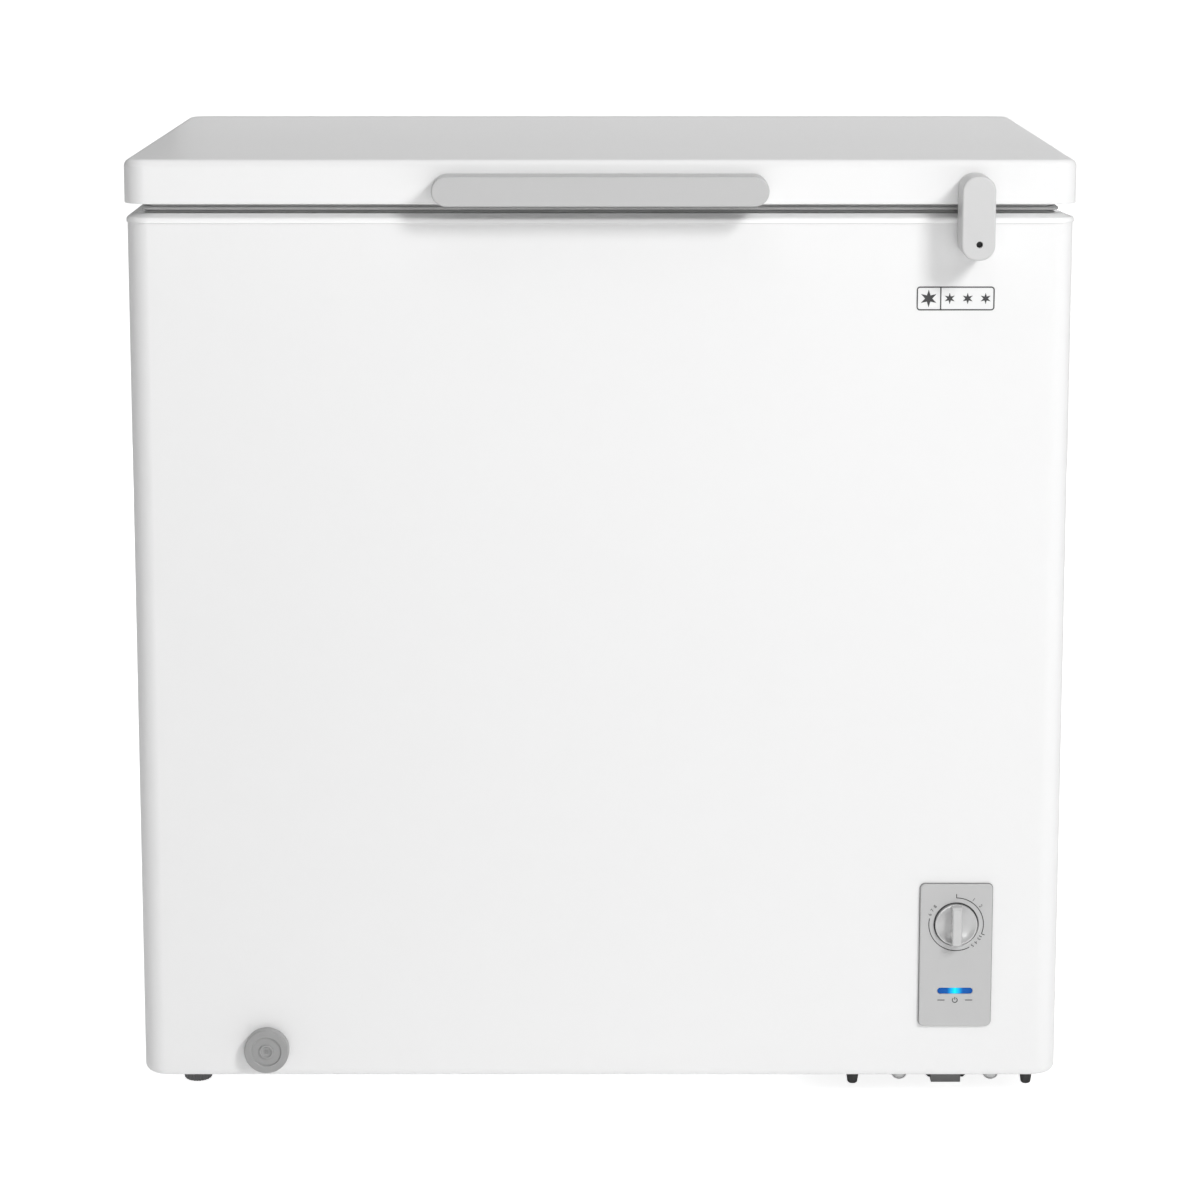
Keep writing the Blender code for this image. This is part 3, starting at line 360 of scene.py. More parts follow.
def plastic(name, colour, roughness=0.35, grain=900.0, strength=0.06, coat=0.0, metallic=0.0):
    """Moulded plastic with a fine spark-eroded grain."""
    moulded = Finish(name, colour, roughness, metallic, coat)
    moulded.tone(moulded.noise(18.0, 0.0), 0.006)
    moulded.gloss(moulded.noise(40.0, 0.0), 0.05)
    return moulded.relief(moulded.noise(grain, 3.0), strength, 0.0002).material


def rubber(name, colour):
    """Matt rubber with a fine skin."""
    soft = Finish(name, colour, 0.62)
    soft.tone(soft.noise(40.0), 0.05)
    soft.gloss(soft.noise(200.0), 0.10)
    return soft.relief(soft.noise(1500.0), 0.10, 0.0002).material


def zinc(name):
    """Galvanised sheet with its spangle."""
    sheet = Finish(name, (0.58, 0.59, 0.60), 0.42, metallic=0.9)
    sheet.tone(sheet.cells(160.0), 0.10)
    sheet.gloss(sheet.noise(90.0), 0.25)
    return sheet.relief(sheet.noise(400.0), 0.04, 0.0003).material


def metal(name, colour):
    """Drawn or turned metal with fine marks on it."""
    stretch = (1.0, 1.0, 12.0)
    bare = Finish(name, colour, 0.30, metallic=1.0)
    bare.tone(bare.noise(60.0, 3.0, stretch), 0.06)
    bare.gloss(bare.noise(300.0, 3.0, stretch), 0.25)
    return bare.relief(bare.noise(700.0, 2.0, stretch), 0.05, 0.0002).material


def foam(name):
    """Pale yellow insulating foam with open cells where it is cut."""
    cellular = Finish(name, (0.86, 0.78, 0.52), 0.9)
    cellular.tone(cellular.noise(90.0), 0.10)
    cellular.gloss(cellular.noise(200.0), 0.05)
    return cellular.relief(cellular.cells(400.0), 0.4, 0.0006).material


def ink(name, colour):
    """Screen-printed marks."""
    print_ = Finish(name, colour, 0.5)
    print_.tone(print_.noise(400.0), 0.05)
    return print_.gloss(print_.noise(300.0), 0.1).material


def lit_lens(name, centre, half_width):
    """A blue lens over a lamp: brightest in the middle, deep blue towards its ends."""
    lens = Finish(name, (0.0, 0.05, 0.30), 0.18)
    lens.gloss(lens.noise(300.0), 0.2)
    lens.shader.inputs["Specular IOR Level"].default_value = 0.25
    place = lens.nodes.new("ShaderNodeSeparateXYZ")
    lens.links.new(lens.coords.outputs["Object"], place.inputs["Vector"])
    offset = lens.nodes.new("ShaderNodeMath")
    offset.operation = "SUBTRACT"
    offset.inputs[1].default_value = centre
    lens.links.new(place.outputs["X"], offset.inputs[0])
    away = lens.nodes.new("ShaderNodeMath")
    away.operation = "ABSOLUTE"
    lens.links.new(offset.outputs["Value"], away.inputs[0])
    share = lens.nodes.new("ShaderNodeMapRange")
    share.inputs["From Max"].default_value = half_width
    lens.links.new(away.outputs["Value"], share.inputs["Value"])
    for target, stops in (
        ("Base Color", ((0.0, (0.0, 0.25, 0.45)), (0.3, (0.0, 0.06, 0.25)), (1.0, (0.0, 0.03, 0.16)))),
        ("Emission Color", ((0.0, (0.0, 0.80, 0.95)), (0.22, (0.0, 0.42, 0.80)), (0.45, (0.0, 0.06, 0.25)))),
    ):
        ramp = lens.nodes.new("ShaderNodeValToRGB")
        elements = ramp.color_ramp.elements
        elements.remove(elements[1])
        for i, (position, colour) in enumerate(stops):
            element = elements[0] if i == 0 else elements.new(position)
            element.position = position
            element.color = (*colour, 1.0)
        lens.links.new(share.outputs["Result"], ramp.inputs["Fac"])
        lens.links.new(ramp.outputs["Color"], lens.shader.inputs[target])
    lens.shader.inputs["Emission Strength"].default_value = 0.9
    return lens.material


WHITE = enamel("white_enamel", (0.84, 0.84, 0.84))
LID_WHITE = enamel("lid_enamel", (0.85, 0.85, 0.85))
LINER_WHITE = enamel("liner_enamel", (0.80, 0.81, 0.82), 0.35)
COLLAR_WHITE = plastic("collar_plastic", (0.88, 0.88, 0.88), 0.26, coat=0.3)
PANEL_WHITE = plastic("lid_panel_plastic", (0.80, 0.805, 0.805), 0.34)
GREY = plastic("light_grey_plastic", (0.51, 0.51, 0.51), 0.38)
LOCK_GREY = plastic("lock_grey_plastic", (0.60, 0.60, 0.60), 0.36)
CAP_GREY = plastic("drain_grey_plastic", (0.33, 0.33, 0.33), 0.34)
SILVER = plastic("silver_plastic", (0.52, 0.52, 0.52), 0.34, 1400.0, 0.05, metallic=0.1)
KNOB_SILVER = plastic("knob_silver", (0.58, 0.58, 0.58), 0.26, 1400.0, 0.03, 0.3, 0.4)
DARK = plastic("dark_plastic", (0.045, 0.045, 0.048), 0.48)
FOOT_GREY = plastic("foot_plastic", (0.16, 0.16, 0.16), 0.5)
SKID_GREY = plastic("skid_plastic", (0.26, 0.26, 0.26), 0.5)
SEAL = rubber("seal_rubber", (0.62, 0.62, 0.62))
BLACK_RUBBER = rubber("black_rubber", (0.03, 0.03, 0.03))
ZINC = zinc("galvanised")
STEEL = metal("bright_steel", (0.62, 0.62, 0.62))
BLACK_PAINT = enamel("black_paint", (0.02, 0.02, 0.021), 0.4)
COPPER = metal("copper", (0.78, 0.38, 0.24))
FOAM = foam("foam_cells")
WIRE_WHITE = plastic("wire_coating", (0.78, 0.785, 0.79), 0.3, 600.0, 0.04, 0.2)
INK = ink("print_grey", (0.02, 0.02, 0.02))
SYMBOL_INK = ink("symbol_grey", (0.045, 0.045, 0.047))

# The CAD nodes that are seen as they are, with their finish
NODE_FINISHES = {
    ZINC: ["bottom_pan", "compartment_divider", "thermostat", "rear_cover"]
    + [f"{piece}_{side}" for piece in ("hinge_case", "hinge_arm") for side in SIDES],
    BLACK_PAINT: ["compressor_base_plate", "compressor", "skid_rail"],
    BLACK_RUBBER: ["drain_plug"]
    + [f"rubber_stub_{side}" for side in SIDES]
    + [f"compressor_grommet_{number}" for number in range(1, 5)],
    DARK: ["start_relay_cover", "cable_gland"] + [f"hinge_plunger_{side}" for side in SIDES],
    COPPER: ["condenser_coil", "evaporator_coil", "filter_drier", "capillary_tube"]
    + ["discharge_pipe", "suction_pipe", "sensor_tube"],
    STEEL: ["lock_keeper", "lock_cylinder"]
    + [f"{piece}_{side}" for piece in ("hinge_pin", "base_bolt") for side in SIDES],
    FOAM: ["foam_insulation", "lid_foam"],
    WHITE: ["back_panel"],
    LINER_WHITE: ["inner_liner"],
    COLLAR_WHITE: ["drain_spout"],
    SKID_GREY: ["skid_foot_front", "skid_foot_rear"],
}
# How wide their sharp edges are rounded
SOFTENED = {
    "inner_liner": 0.004,
    "skid_rail": 0.0006,
    "skid_foot_front": 0.0012,
    "skid_foot_rear": 0.0012,
    "back_panel": 0.0003,
    "rear_cover": 0.0005,
    "hinge_case_left": 0.0005,
    "hinge_case_right": 0.0005,
    "hinge_arm_left": 0.0004,
    "hinge_arm_right": 0.0004,
    "start_relay_cover": 0.001,
}


def dress_cad_nodes():
    """Give every carried-over CAD node its finish, and its sharp edges a small round."""
    for material, names in NODE_FINISHES.items():
        for name in names:
            obj = frame["nodes"][name]
            obj.data.materials.clear()
            obj.data.materials.append(material)
            if name in SOFTENED:
                edge = obj.modifiers.new("edges", "BEVEL")
                edge.width = SOFTENED[name]
                edge.segments = 2
                edge.limit_method = "ANGLE"
                edge.angle_limit = math.radians(50)
                edge.harden_normals = False
                even_normals(obj)


# Cabinet


def make_shell():
    """The wrapper, folded in under its bottom edge with a larger round at the sides than at the front."""
    low, high = SHELL_LOW, SHELL_HIGH
    side_r, front_r, rise = 0.006, 0.003, 0.007
    sheet, fold, fold_corner, fold_steps = 0.0012, 0.015, 0.012, 8
    top = high.z - 0.0002
    rings = [level_ring(low, high, 0.0, top, CORNER_R)]
    for i in range(fold_steps + 1):
        angle = math.pi / 2 * i / fold_steps
        pull = 1 - math.cos(angle)
        z = low.z + rise * (1 - math.sin(angle))
        rings.append(level_ring(low, high, side_r * pull, z, CORNER_R - side_r * pull * 0.5, front_r * pull))
    rings.append(level_ring(low, high, fold, low.z, fold_corner))
    rings.append(level_ring(low, high, fold, low.z + sheet, fold_corner))
    rings.append(level_ring(low, high, side_r, low.z + sheet, CORNER_R - side_r / 2))
    rings.append(level_ring(low, high, sheet, low.z + rise + sheet, CORNER_R - sheet))
    rings.append(level_ring(low, high, sheet, top, CORNER_R - sheet))
    shell = loft("shell_wrapper", rings, WHITE, closed=True)
    window_low, window_high = (0.205, 0.26, 0.045), (0.372, 0.30, 0.255)
    window = box_mesh("window", window_low, window_high, WHITE)
    spout = centre_of("drain_cap")
    drain = turned("drain", [(0.0093, -0.02), (0.0093, 0.02)], (spout.x, FRONT_Y, spout.z), (0, 1, 0), WHITE)
    even_normals(carve(shell, window, drain))
    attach(shell, "cabinet")
    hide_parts("outer_shell")


def make_collar():
    """The frame round the mouth: a flat for the seal, sloping outwards to a rounded rim."""
    low, high = SHELL_LOW, SHELL_HIGH
    top = COLLAR_HIGH.z
    rim = high.z
    mouth, outer_corner, corner_loss = 0.0642, 0.021, 0.012
    profile = [(-0.0003, rim - 0.0020), (-0.0010, rim - 0.0018)]
    profile += quarter((-0.0010, rim + 0.0007), (0.0012, top - 0.0028), 5, bulge_first=False)
    profile += [(0.0030, top - 0.0021), (0.0078, top - 0.0006), (0.0092, top - 0.0001), (0.0104, top)]
    profile += quarter((mouth - 0.0030, top), (mouth, top - 0.0030), 6)
    profile += [(mouth, COLLAR_LOW.z + 0.0008), (mouth - 0.0006, COLLAR_LOW.z)]
    profile += [(mouth - 0.0014, COLLAR_LOW.z), (mouth - 0.0017, COLLAR_LOW.z + 0.0006)]
    profile += [(mouth - 0.0017, rim + 0.0003), (-0.0003, rim + 0.0003)]
    rings = []
    for inset, z in profile:
        share = min(max(inset / mouth, 0.0), 1.0)
        rings.append(level_ring(low, high, inset, z, outer_corner - corner_loss * share))
    collar = even_normals(loft("tank_collar", rings, COLLAR_WHITE, closed=True))
    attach(collar, "cabinet")
    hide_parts("top_collar")


# Lid


def make_lid_skin():
    """The lid's outside: a drawn sheet with a rounded top edge and a hem along its lower edge."""
    low, high = LID_LOW, LID_HIGH
    sheet, hem = 0.0015, 0.0009
    edge, inner_edge = 0.0068, 0.006
    rings = [
        level_ring(low, high, sheet + inner_edge, high.z - sheet, CORNER_R - inner_edge),
        level_ring(low, high, sheet, high.z - sheet - inner_edge, CORNER_R - sheet),
        level_ring(low, high, sheet, low.z + 0.0002, CORNER_R - sheet),
    ]
    for inset, z in quarter((hem, low.z), (0.0, low.z + hem), 4):
        rings.append(level_ring(low, high, inset, z, CORNER_R - inset))
    for inset, z in quarter((0.0, high.z - edge), (edge, high.z), 9, bulge_first=False):
        rings.append(level_ring(low, high, inset, z, CORNER_R - inset))
    skin = even_normals(loft("lid_cover", rings, LID_WHITE))
    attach(skin, "lid")
    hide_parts("lid_outer_skin")


def make_lid_panel():
    """The vacuum-formed inside of the lid: a flat border, a rounded plug and a shallow field in it."""
    low, high = PANEL_LOW, PANEL_HIGH
    under = LID_LOW.z + 0.0003
    plug = 0.080
    bottom = low.z
    corner = CORNER_R - (low.x - LID_LOW.x)
    profile = [(0.0, high.z), (0.0, under)]
    profile += [(0.067, under), (0.072, under - 0.0004), (0.0765, under - 0.0025)]
    profile += [(plug - 0.0012, under - 0.0070), (plug, bottom + 0.0070)]
    profile += quarter((plug + 0.0002, bottom + 0.0060), (plug + 0.006, bottom), 5, bulge_first=False)[1:]
    field, recess = plug + 0.040, 0.0018
    profile += [(field - 0.004, bottom)]
    profile += quarter((field, bottom), (field + 0.003, bottom + recess), 4, bulge_first=False)
    profile += [(field + 0.020, bottom + recess)]
    rings = []
    for inset, z in profile:
        share = min(inset / plug, 1.0)
        rings.append(level_ring(low, high, inset, z, corner * (1 - 0.25 * share)))
    panel = even_normals(loft("lid_liner", rings, PANEL_WHITE))
    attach(panel, "lid")
    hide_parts("lid_inner_panel")


def make_seal():
    """The lid's seal: a base in the panel, a bulge between two grooves, and a lip on the collar."""
    low, high = LID_LOW, LID_HIGH
    top, base = LID_LOW.z + 0.0002, COLLAR_HIGH.z + 0.0003
    outer = [(0.0185, top), (0.0178, top - 0.0006), (0.0178, top - 0.0026), (0.0188, top - 0.0032)]
    outer += [(0.0205, top - 0.0036), (0.0160, top - 0.0041), (0.0143, top - 0.0047)]
    outer += [(0.0140, top - 0.0055), (0.0144, top - 0.0062), (0.0165, top - 0.0067)]
    outer += [(0.0205, top - 0.0071), (0.0195, base + 0.0012), (0.0175, base + 0.0006), (0.0170, base)]
    inner = [(0.0296, base), (0.0300, base + 0.0010), (0.0290, base + 0.0020), (0.0270, base + 0.0026)]
    inner += [(0.0285, top - 0.0040), (0.0270, top - 0.0018), (0.0285, top)]
    rings = [level_ring(low, high, inset, z, 0.018 - inset * 0.45) for inset, z in outer + inner]
    seal = loft("lid_seal", rings, SEAL, closed=True, sharp=50.0)
    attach(seal, "lid")
    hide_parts("lid_gasket")


def front_body(name, low, high, radius, edge, material, back_y, front_y):
    """A body that stands out of the front with a rounded outline and a rounded front edge."""
    rings = [front_ring(low, high, 0.0, back_y, radius)]
    for inset, y in quarter((0.0, front_y + edge), (edge, front_y), 6, bulge_first=False):
        rings.append(front_ring(low, high, inset, y, radius))
    return loft(name, rings, material)


def make_handle():
    """The grab bar: a long pill with a pocket for the fingers, open underneath."""
    low, high = HANDLE_LOW, HANDLE_HIGH
    end_r, edge, wall, end_wall = 0.0128, 0.0016, 0.004, 0.012
    bar = front_body("grab_handle", low, high, end_r, edge, GREY, high.y, low.y)
    pocket_low = (low.x + end_wall, low.y + wall, low.z - 0.02)
    pocket_high = (high.x - end_wall, high.y + 0.02, high.z - wall)
    pocket = box_mesh("pocket", pocket_low, pocket_high, GREY, bevel=0.0025)
    even_normals(carve(bar, pocket))
    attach(bar, "lid")
    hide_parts("lid_handle")


def make_lock():
    """The lock's cover, hollow towards the cabinet, with the keyhole through its front."""
    low, high = LOCK_LOW, LOCK_HIGH
    pivot = Vector(JOINTS["lock_turn"]["pos_m"])
    end_r, edge, wall = 0.0132, 0.0020, 0.0025
    cover = front_body("lock_cover", low, high, end_r, edge, LOCK_GREY, high.y, low.y)
    cavity_low = (low.x + wall, pivot.y, low.z - 0.02)
    cavity_high = (high.x - wall, high.y + 0.02, LID_LOW.z)
    cavity = box_mesh("cavity", cavity_low, cavity_high, LOCK_GREY)
    mouth_r, hole_r, core_r = 0.0034, 0.0028, 0.0054
    hole = [(mouth_r, -0.003), (mouth_r, -0.0004), (hole_r, 0.0004), (hole_r, 0.012)]
    keyhole = turned("keyhole", hole, (pivot.x, low.y, pivot.z), (0, 1, 0), LOCK_GREY, 40)
    bore_r = core_r + 0.0004
    barrel = turned("barrel", [(bore_r, -0.013), (bore_r, 0.01)], pivot, (0, 1, 0), LOCK_GREY, 40)
    even_normals(carve(cover, cavity, keyhole, barrel))
    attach(cover, "lid")
    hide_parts("lock_housing")
    face = turned(
        "lock_core_face",
        [(0.0, 0.0), (core_r, 0.0), (core_r, 0.0006), (0.0, 0.0006)],
        (pivot.x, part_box("lock_cylinder")[0].y - 0.0007, pivot.z),
        (0, 1, 0),
        DARK,
        32,
    )
    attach(face, "lock_barrel")


# Printed marks


def stamp(name, outline, y, material):
    """A flat printed shape on the front, from (x, z) points."""
    rings = [[(x, y, z) for x, z in outline], [(x, y - PRINT_THICK, z) for x, z in outline]]
    return loft(name, rings, material)


def frame_stamp(name, low_x, high_x, low_z, high_z, radius, line, y, material):
    """A printed rounded frame of even line width."""
    out = rounded(low_x, high_x, low_z, high_z, radius)
    within = rounded(low_x + line, high_x - line, low_z + line, high_z - line, radius - line)
    rings = [[(x, y, z) for x, z in out], [(x, y - PRINT_THICK, z) for x, z in out]]
    rings += [[(x, y - PRINT_THICK, z) for x, z in within], [(x, y, z) for x, z in within]]
    return loft(name, rings, material, closed=True)


def star_outline(x, z, radius, tips=6):
    """A star with a narrow waist between its tips, one tip pointing up."""
    points = []
    for i in range(2 * tips):
        reach = radius if i % 2 == 0 else radius * 0.40
        angle = math.pi / 2 + math.pi / tips * i
        points.append((x + reach * math.cos(angle), z + reach * math.sin(angle)))
    return points


def arc_stamp(name, centre, radius, start, end, width, y, material):
    """A printed arc. Angles are in degrees, clockwise from the top."""
    steps = max(int(abs(end - start) / 3), 2)
    outline = []
    for edge, order in ((radius + width / 2, range(steps + 1)), (radius - width / 2, range(steps, -1, -1))):
        for i in order:
            angle = math.radians(start + (end - start) * i / steps)
            outline.append((centre.x + edge * math.sin(angle), centre.z + edge * math.cos(angle)))
    return stamp(name, outline, y, material)


def bar_stamp(name, start, end, width, y, material):
    """A printed straight line between two (x, z) points."""
    along = (Vector(end) - Vector(start)).normalized()
    side = Vector((-along.y, along.x)) * width / 2
    corners = [Vector(start) + side, Vector(start) - side, Vector(end) - side, Vector(end) + side]
    return stamp(name, [tuple(corner) for corner in corners], y, material)


def digit_stamp(text, centre, radius, angle, height, y, material):
    """A numeral on the dial's circle, upright along the radius."""
    curve = bpy.data.curves.new(f"numeral_{text}", "FONT")
    curve.body = text
    curve.size = height
    curve.align_x = "CENTER"
    curve.align_y = "CENTER"
    curve.extrude = PRINT_THICK / 2
    curve.resolution_u = 3
    source = bpy.data.objects.new("numeral_source", curve)
    bpy.context.scene.collection.objects.link(source)
    bm = welded(source)
    turn = math.radians(angle)
    place = (centre.x + radius * math.sin(turn), y - PRINT_THICK / 2, centre.z + radius * math.cos(turn))
    stand = Matrix.Rotation(turn, 4, "Y") @ Matrix.Rotation(math.pi / 2, 4, "X")
    bm.transform(Matrix.Translation(place) @ stand)
    return finish_mesh(f"numeral_{text}", bm, material)


def make_symbol():
    """The freezer's four-star symbol: one large star, and three small ones in a frame beside it."""
    x, z, y = 0.310, 0.729, FRONT_Y - 0.00005
    half_w, half_h, line = 0.0340, 0.0105, 0.0011
    cell = 2 * half_h
    marks = [frame_stamp("frame", x - half_w, x + half_w, z - half_h, z + half_h, 0.003, line, y, SYMBOL_INK)]
    divide = x - half_w + cell
    ends = [(divide, z + sign * (half_h - line / 2)) for sign in (-1, 1)]
    marks.append(bar_stamp("divide", *ends, line, y, SYMBOL_INK))
    marks.append(stamp("star", star_outline(x - half_w + half_h, z, 0.0078), y, SYMBOL_INK))
    room = x + half_w - divide
    for i in range(3):
        star_x = divide + room * (i + 0.5) / 3
        marks.append(stamp("star", star_outline(star_x, z, 0.0050), y, SYMBOL_INK))
    symbol = joined("star_symbol", marks)
    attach(symbol, "cabinet")


# Control panel

PLATE_CORNER_R = 0.0042
WELL_R = 0.0203


def make_plate():
    """The panel's silver plate, with openings for the knob and the lens."""
    low, high = PLATE_LOW, PLATE_HIGH
    plate = front_body("control_plate", low, high, PLATE_CORNER_R, 0.0011, SILVER, high.y, low.y)
    knob = Vector(JOINTS["knob_turn"]["pos_m"])
    bore = [(WELL_R, -0.02), (WELL_R, 0.02)]
    well = turned("well", bore, (knob.x, low.y + 0.003, knob.z), (0, -1, 0), SILVER, 96)
    grow = Vector((0.0003, 0.0, 0.0003))
    slot_rings = [
        front_ring(LENS_LOW - grow, LENS_HIGH + grow, 0.0, y, 0.0028) for y in (low.y - 0.01, high.y + 0.01)
    ]
    slot = loft("slot", slot_rings, SILVER)
    even_normals(carve(plate, well, slot))
    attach(plate, "cabinet")
    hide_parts("control_panel")


def make_panel_backing():
    """Painted shade: a dark disc at the floor of the knob's well for the shade in the gap round the knob, and
    a thin dark ring that shows round the plate's edge for the shadow gap between plate and front.
    """
    low, high = PLATE_LOW, PLATE_HIGH
    knob = Vector(JOINTS["knob_turn"]["pos_m"])
    # Painted shade: this dark disc stands in for the shade deep in the gap round the knob.
    hole_r, well_shade_r, thick = 0.0040, WELL_R - 0.0002, 0.0003
    well_shade_profile = [(hole_r, 0.0), (well_shade_r, 0.0), (well_shade_r, thick), (hole_r, thick)]
    floor = turned("knob_well_painted_shade", well_shade_profile, (knob.x, high.y - 0.0004, knob.z), (0, 1, 0), DARK)
    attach(floor, "cabinet")
    # Painted shadow: a thin dark grey ring just outside the plate stands in for the shadow gap between plate
    # and front.
    front, outside, inside = high.y - 0.0006, -0.0005, 0.0010
    section = [(outside, high.y), (outside, front), (inside, front), (inside, high.y)]
    rings = [front_ring(low, high, inset, y, PLATE_CORNER_R) for inset, y in section]
    edge_shadow = even_normals(loft("plate_edge_painted_shadow", rings, FOOT_GREY, closed=True))
    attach(edge_shadow, "cabinet")


def make_panel_print():
    """The dial's scale from 1 to 8 round the knob, and a power symbol between two dashes below the lens."""
    knob = Vector(JOINTS["knob_turn"]["pos_m"])
    y = PLATE_LOW.y - 0.00003
    ring_r, line = 0.0245, 0.0007
    marks = [
        arc_stamp("arc", knob, ring_r, 0, 111, line, y, INK),
        arc_stamp("arc", knob, ring_r, 150, 283, line, y, INK),
        bar_stamp("tick", (knob.x, knob.z + ring_r), (knob.x, knob.z + ring_r + 0.0036), line, y, INK),
    ]
    for angle, inner, outer in ((111, ring_r, ring_r + 0.0030), (117, ring_r - 0.0012, ring_r + 0.0014)):
        turn = math.radians(angle)
        ends = [(knob.x + r * math.sin(turn), knob.z + r * math.cos(turn)) for r in (inner, outer)]
        marks.append(bar_stamp("tick", *ends, line, y, INK))
    numerals = [(1, 34, 0.0276), (2, 52, 0.0276), (3, 123, ring_r), (4, 133, ring_r), (5, 143, ring_r)]
    numerals += [(6, 291, ring_r + 0.0006), (7, 301, ring_r + 0.0006), (8, 311, ring_r + 0.0006)]
    for number, angle, radius in numerals:
        marks.append(digit_stamp(str(number), knob, radius, angle, 0.0044, y, INK))
    lamp = centre_of("power_light_lens")
    mark_z = lamp.z - 0.0087
    for sign in (-1, 1):
        ends = [(lamp.x + sign * reach, mark_z) for reach in (0.0092, 0.0157)]
        marks.append(bar_stamp("dash", *ends, line, y, INK))
    switch = Vector((lamp.x, 0, mark_z))
    marks.append(arc_stamp("power", switch, 0.0022, 35, 325, line, y, INK))
    marks.append(bar_stamp("power", (lamp.x, mark_z + 0.0004), (lamp.x, mark_z + 0.0029), line, y, INK))
    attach(joined("panel_print", marks), "cabinet")


def make_knob():
    """The thermostat knob: a dished disc with a rounded rim, and a grip bar across it."""
    pivot = Vector(JOINTS["knob_turn"]["pos_m"])
    back, front = FRONT_Y - 0.0010, KNOB_LOW.y
    radius = (KNOB_HIGH.x - KNOB_LOW.x) / 2 - 0.0003
    rim_y = 0.0058
    profile = [(0.0, 0.0028), (0.0080, 0.0030), (0.0130, 0.0038), (0.0160, 0.0050), (0.0172, 0.0056)]
    profile += [(0.0178, rim_y), (0.0185, rim_y - 0.0002), (0.0190, rim_y - 0.0008), (radius, rim_y - 0.0018)]
    profile += [(radius, 0.0006), (radius - 0.0004, 0.0), (0.0, 0.0)]
    disc = turned("knob_disc", profile, (pivot.x, back, pivot.z), (0, -1, 0), KNOB_SILVER, 96)
    top, foot = 0.0041, 0.0047
    length = radius + 0.002
    rings = []
    for y, half, shrink in (
        (back - 0.001, foot, 0.0),
        (front + 0.0014, top + 0.0003, 0.0),
        (front + 0.0006, top - 0.0001, 0.0004),
        (front, top - 0.0008, 0.0010),
    ):
        reach = length - shrink
        flat = rounded(pivot.x - half, pivot.x + half, pivot.z - reach, pivot.z + reach, 0.0008, 3)
        rings.append([(x, y, z) for x, z in flat])
    bar = loft("grip", rings, KNOB_SILVER)
    middle = (pivot.x, back, pivot.z)
    limit = [(radius - 0.0004, -0.01), (radius - 0.0004, 0.0105)]
    limit += [(radius - 0.0010, 0.0125), (radius - 0.0030, 0.0150)]
    carve(bar, turned("limit", limit, middle, (0, -1, 0), KNOB_SILVER, 96), operation="INTERSECT")
    shaft = turned("shaft", [(0.0029, -0.001), (0.0029, 0.0225)], middle, (0, 1, 0), KNOB_SILVER, 24)
    even_normals(carve(disc, bar, shaft, operation="UNION"))
    disc.name = "thermostat_dial"
    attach(disc, "knob")
    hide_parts("thermostat_knob")


def make_lens():
    """The pill-shaped lens over the power light."""
    low, high = LENS_LOW, LENS_HIGH
    material = lit_lens("lamp_lens", centre_of("power_light_lens").x, (high.x - low.x) / 2)
    end_r, edge = 0.00254, 0.0007
    lens = even_normals(front_body("lamp_lens", low, high, end_r, edge, material, high.y, low.y))
    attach(lens, "cabinet")
    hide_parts("power_light_lens")


def make_drain_cap():
    """The drain's cap: a disc with a ring groove, an inner ring and a square socket."""
    centre = centre_of("drain_cap")
    radius = (CAP_HIGH.x - CAP_LOW.x) / 2
    back = FRONT_Y - 0.0003
    face = back - CAP_LOW.y
    dip = face - 0.0016
    profile = [(0.0, dip), (0.0030, dip), (0.0044, dip + 0.0004)]
    profile += [(0.0050, face - 0.0001), (0.0056, face), (0.0062, face - 0.0002)]
    profile += [(0.0068, dip + 0.0002), (0.0074, dip)]
    profile += [(0.0124, dip), (0.0129, dip), (0.0132, face - 0.0004), (0.0137, face)]
    profile += [(radius - 0.0018, face), (radius - 0.0008, face - 0.0003), (radius - 0.0002, face - 0.0010)]
    profile += [(radius, face - 0.0020), (radius, 0.0003), (radius - 0.0004, 0.0), (0.0054, 0.0)]
    profile += [(0.0049, -0.0140), (0.0, -0.0140)]
    cap = turned("drain_cover", profile, (centre.x, back, centre.z), (0, -1, 0), CAP_GREY, 96)
    middle = Vector((centre.x, back - face + 0.0018, centre.z))
    half = Vector((0.0017, 0.0010, 0.0017))
    socket = box_mesh("socket", middle - half, middle + half, CAP_GREY)
    even_normals(carve(cap, socket))
    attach(cap, "drain_cap")
    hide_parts("drain_cap")


# Feet, hinges, basket and fasteners


def make_feet():
    """Levelling feet with ribs round them, to turn them by hand."""
    for end in ("front", "rear"):
        node = f"levelling_foot_{end}"
        low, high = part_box(node)
        centre = centre_of(node)
        rib, ribs = 0.0004, 24
        radius = (high.x - low.x) / 2 - rib
        stud_r, stud_top = 0.0040, high.z
        profile = [(0.0, stud_top), (stud_r - 0.0002, stud_top), (stud_r, stud_top - 0.0004)]
        profile += [(stud_r, 0.0206)]
        profile += [(radius - 0.0030, 0.0205), (radius - 0.0012, 0.0198)]
        profile += [(radius - 0.0004, 0.0185), (radius, 0.0170), (radius, 0.0040)]
        profile += [(radius - 0.0006, 0.0012), (radius - 0.0022, 0.0), (0.0, 0.0)]
        place = (centre.x, centre.y, 0)
        foot = turned(f"foot_{end}", profile, place, (0, 0, 1), FOOT_GREY, 144, ripple=(rib, ribs))
        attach(foot, f"foot_{end}")
        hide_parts(node)


def spring_height(turn, turns):
    """How far up a spring a turn lies, from 0 to 1. Its first and last turns rise less than the others."""
    end_rise = 0.35
    lost = 1 - end_rise
    rise = min(turn, 1.0) * end_rise + max(turn - 1.0, 0.0) - max(turn - turns + 1.0, 0.0) * lost
    return rise / (turns - 2 * lost)


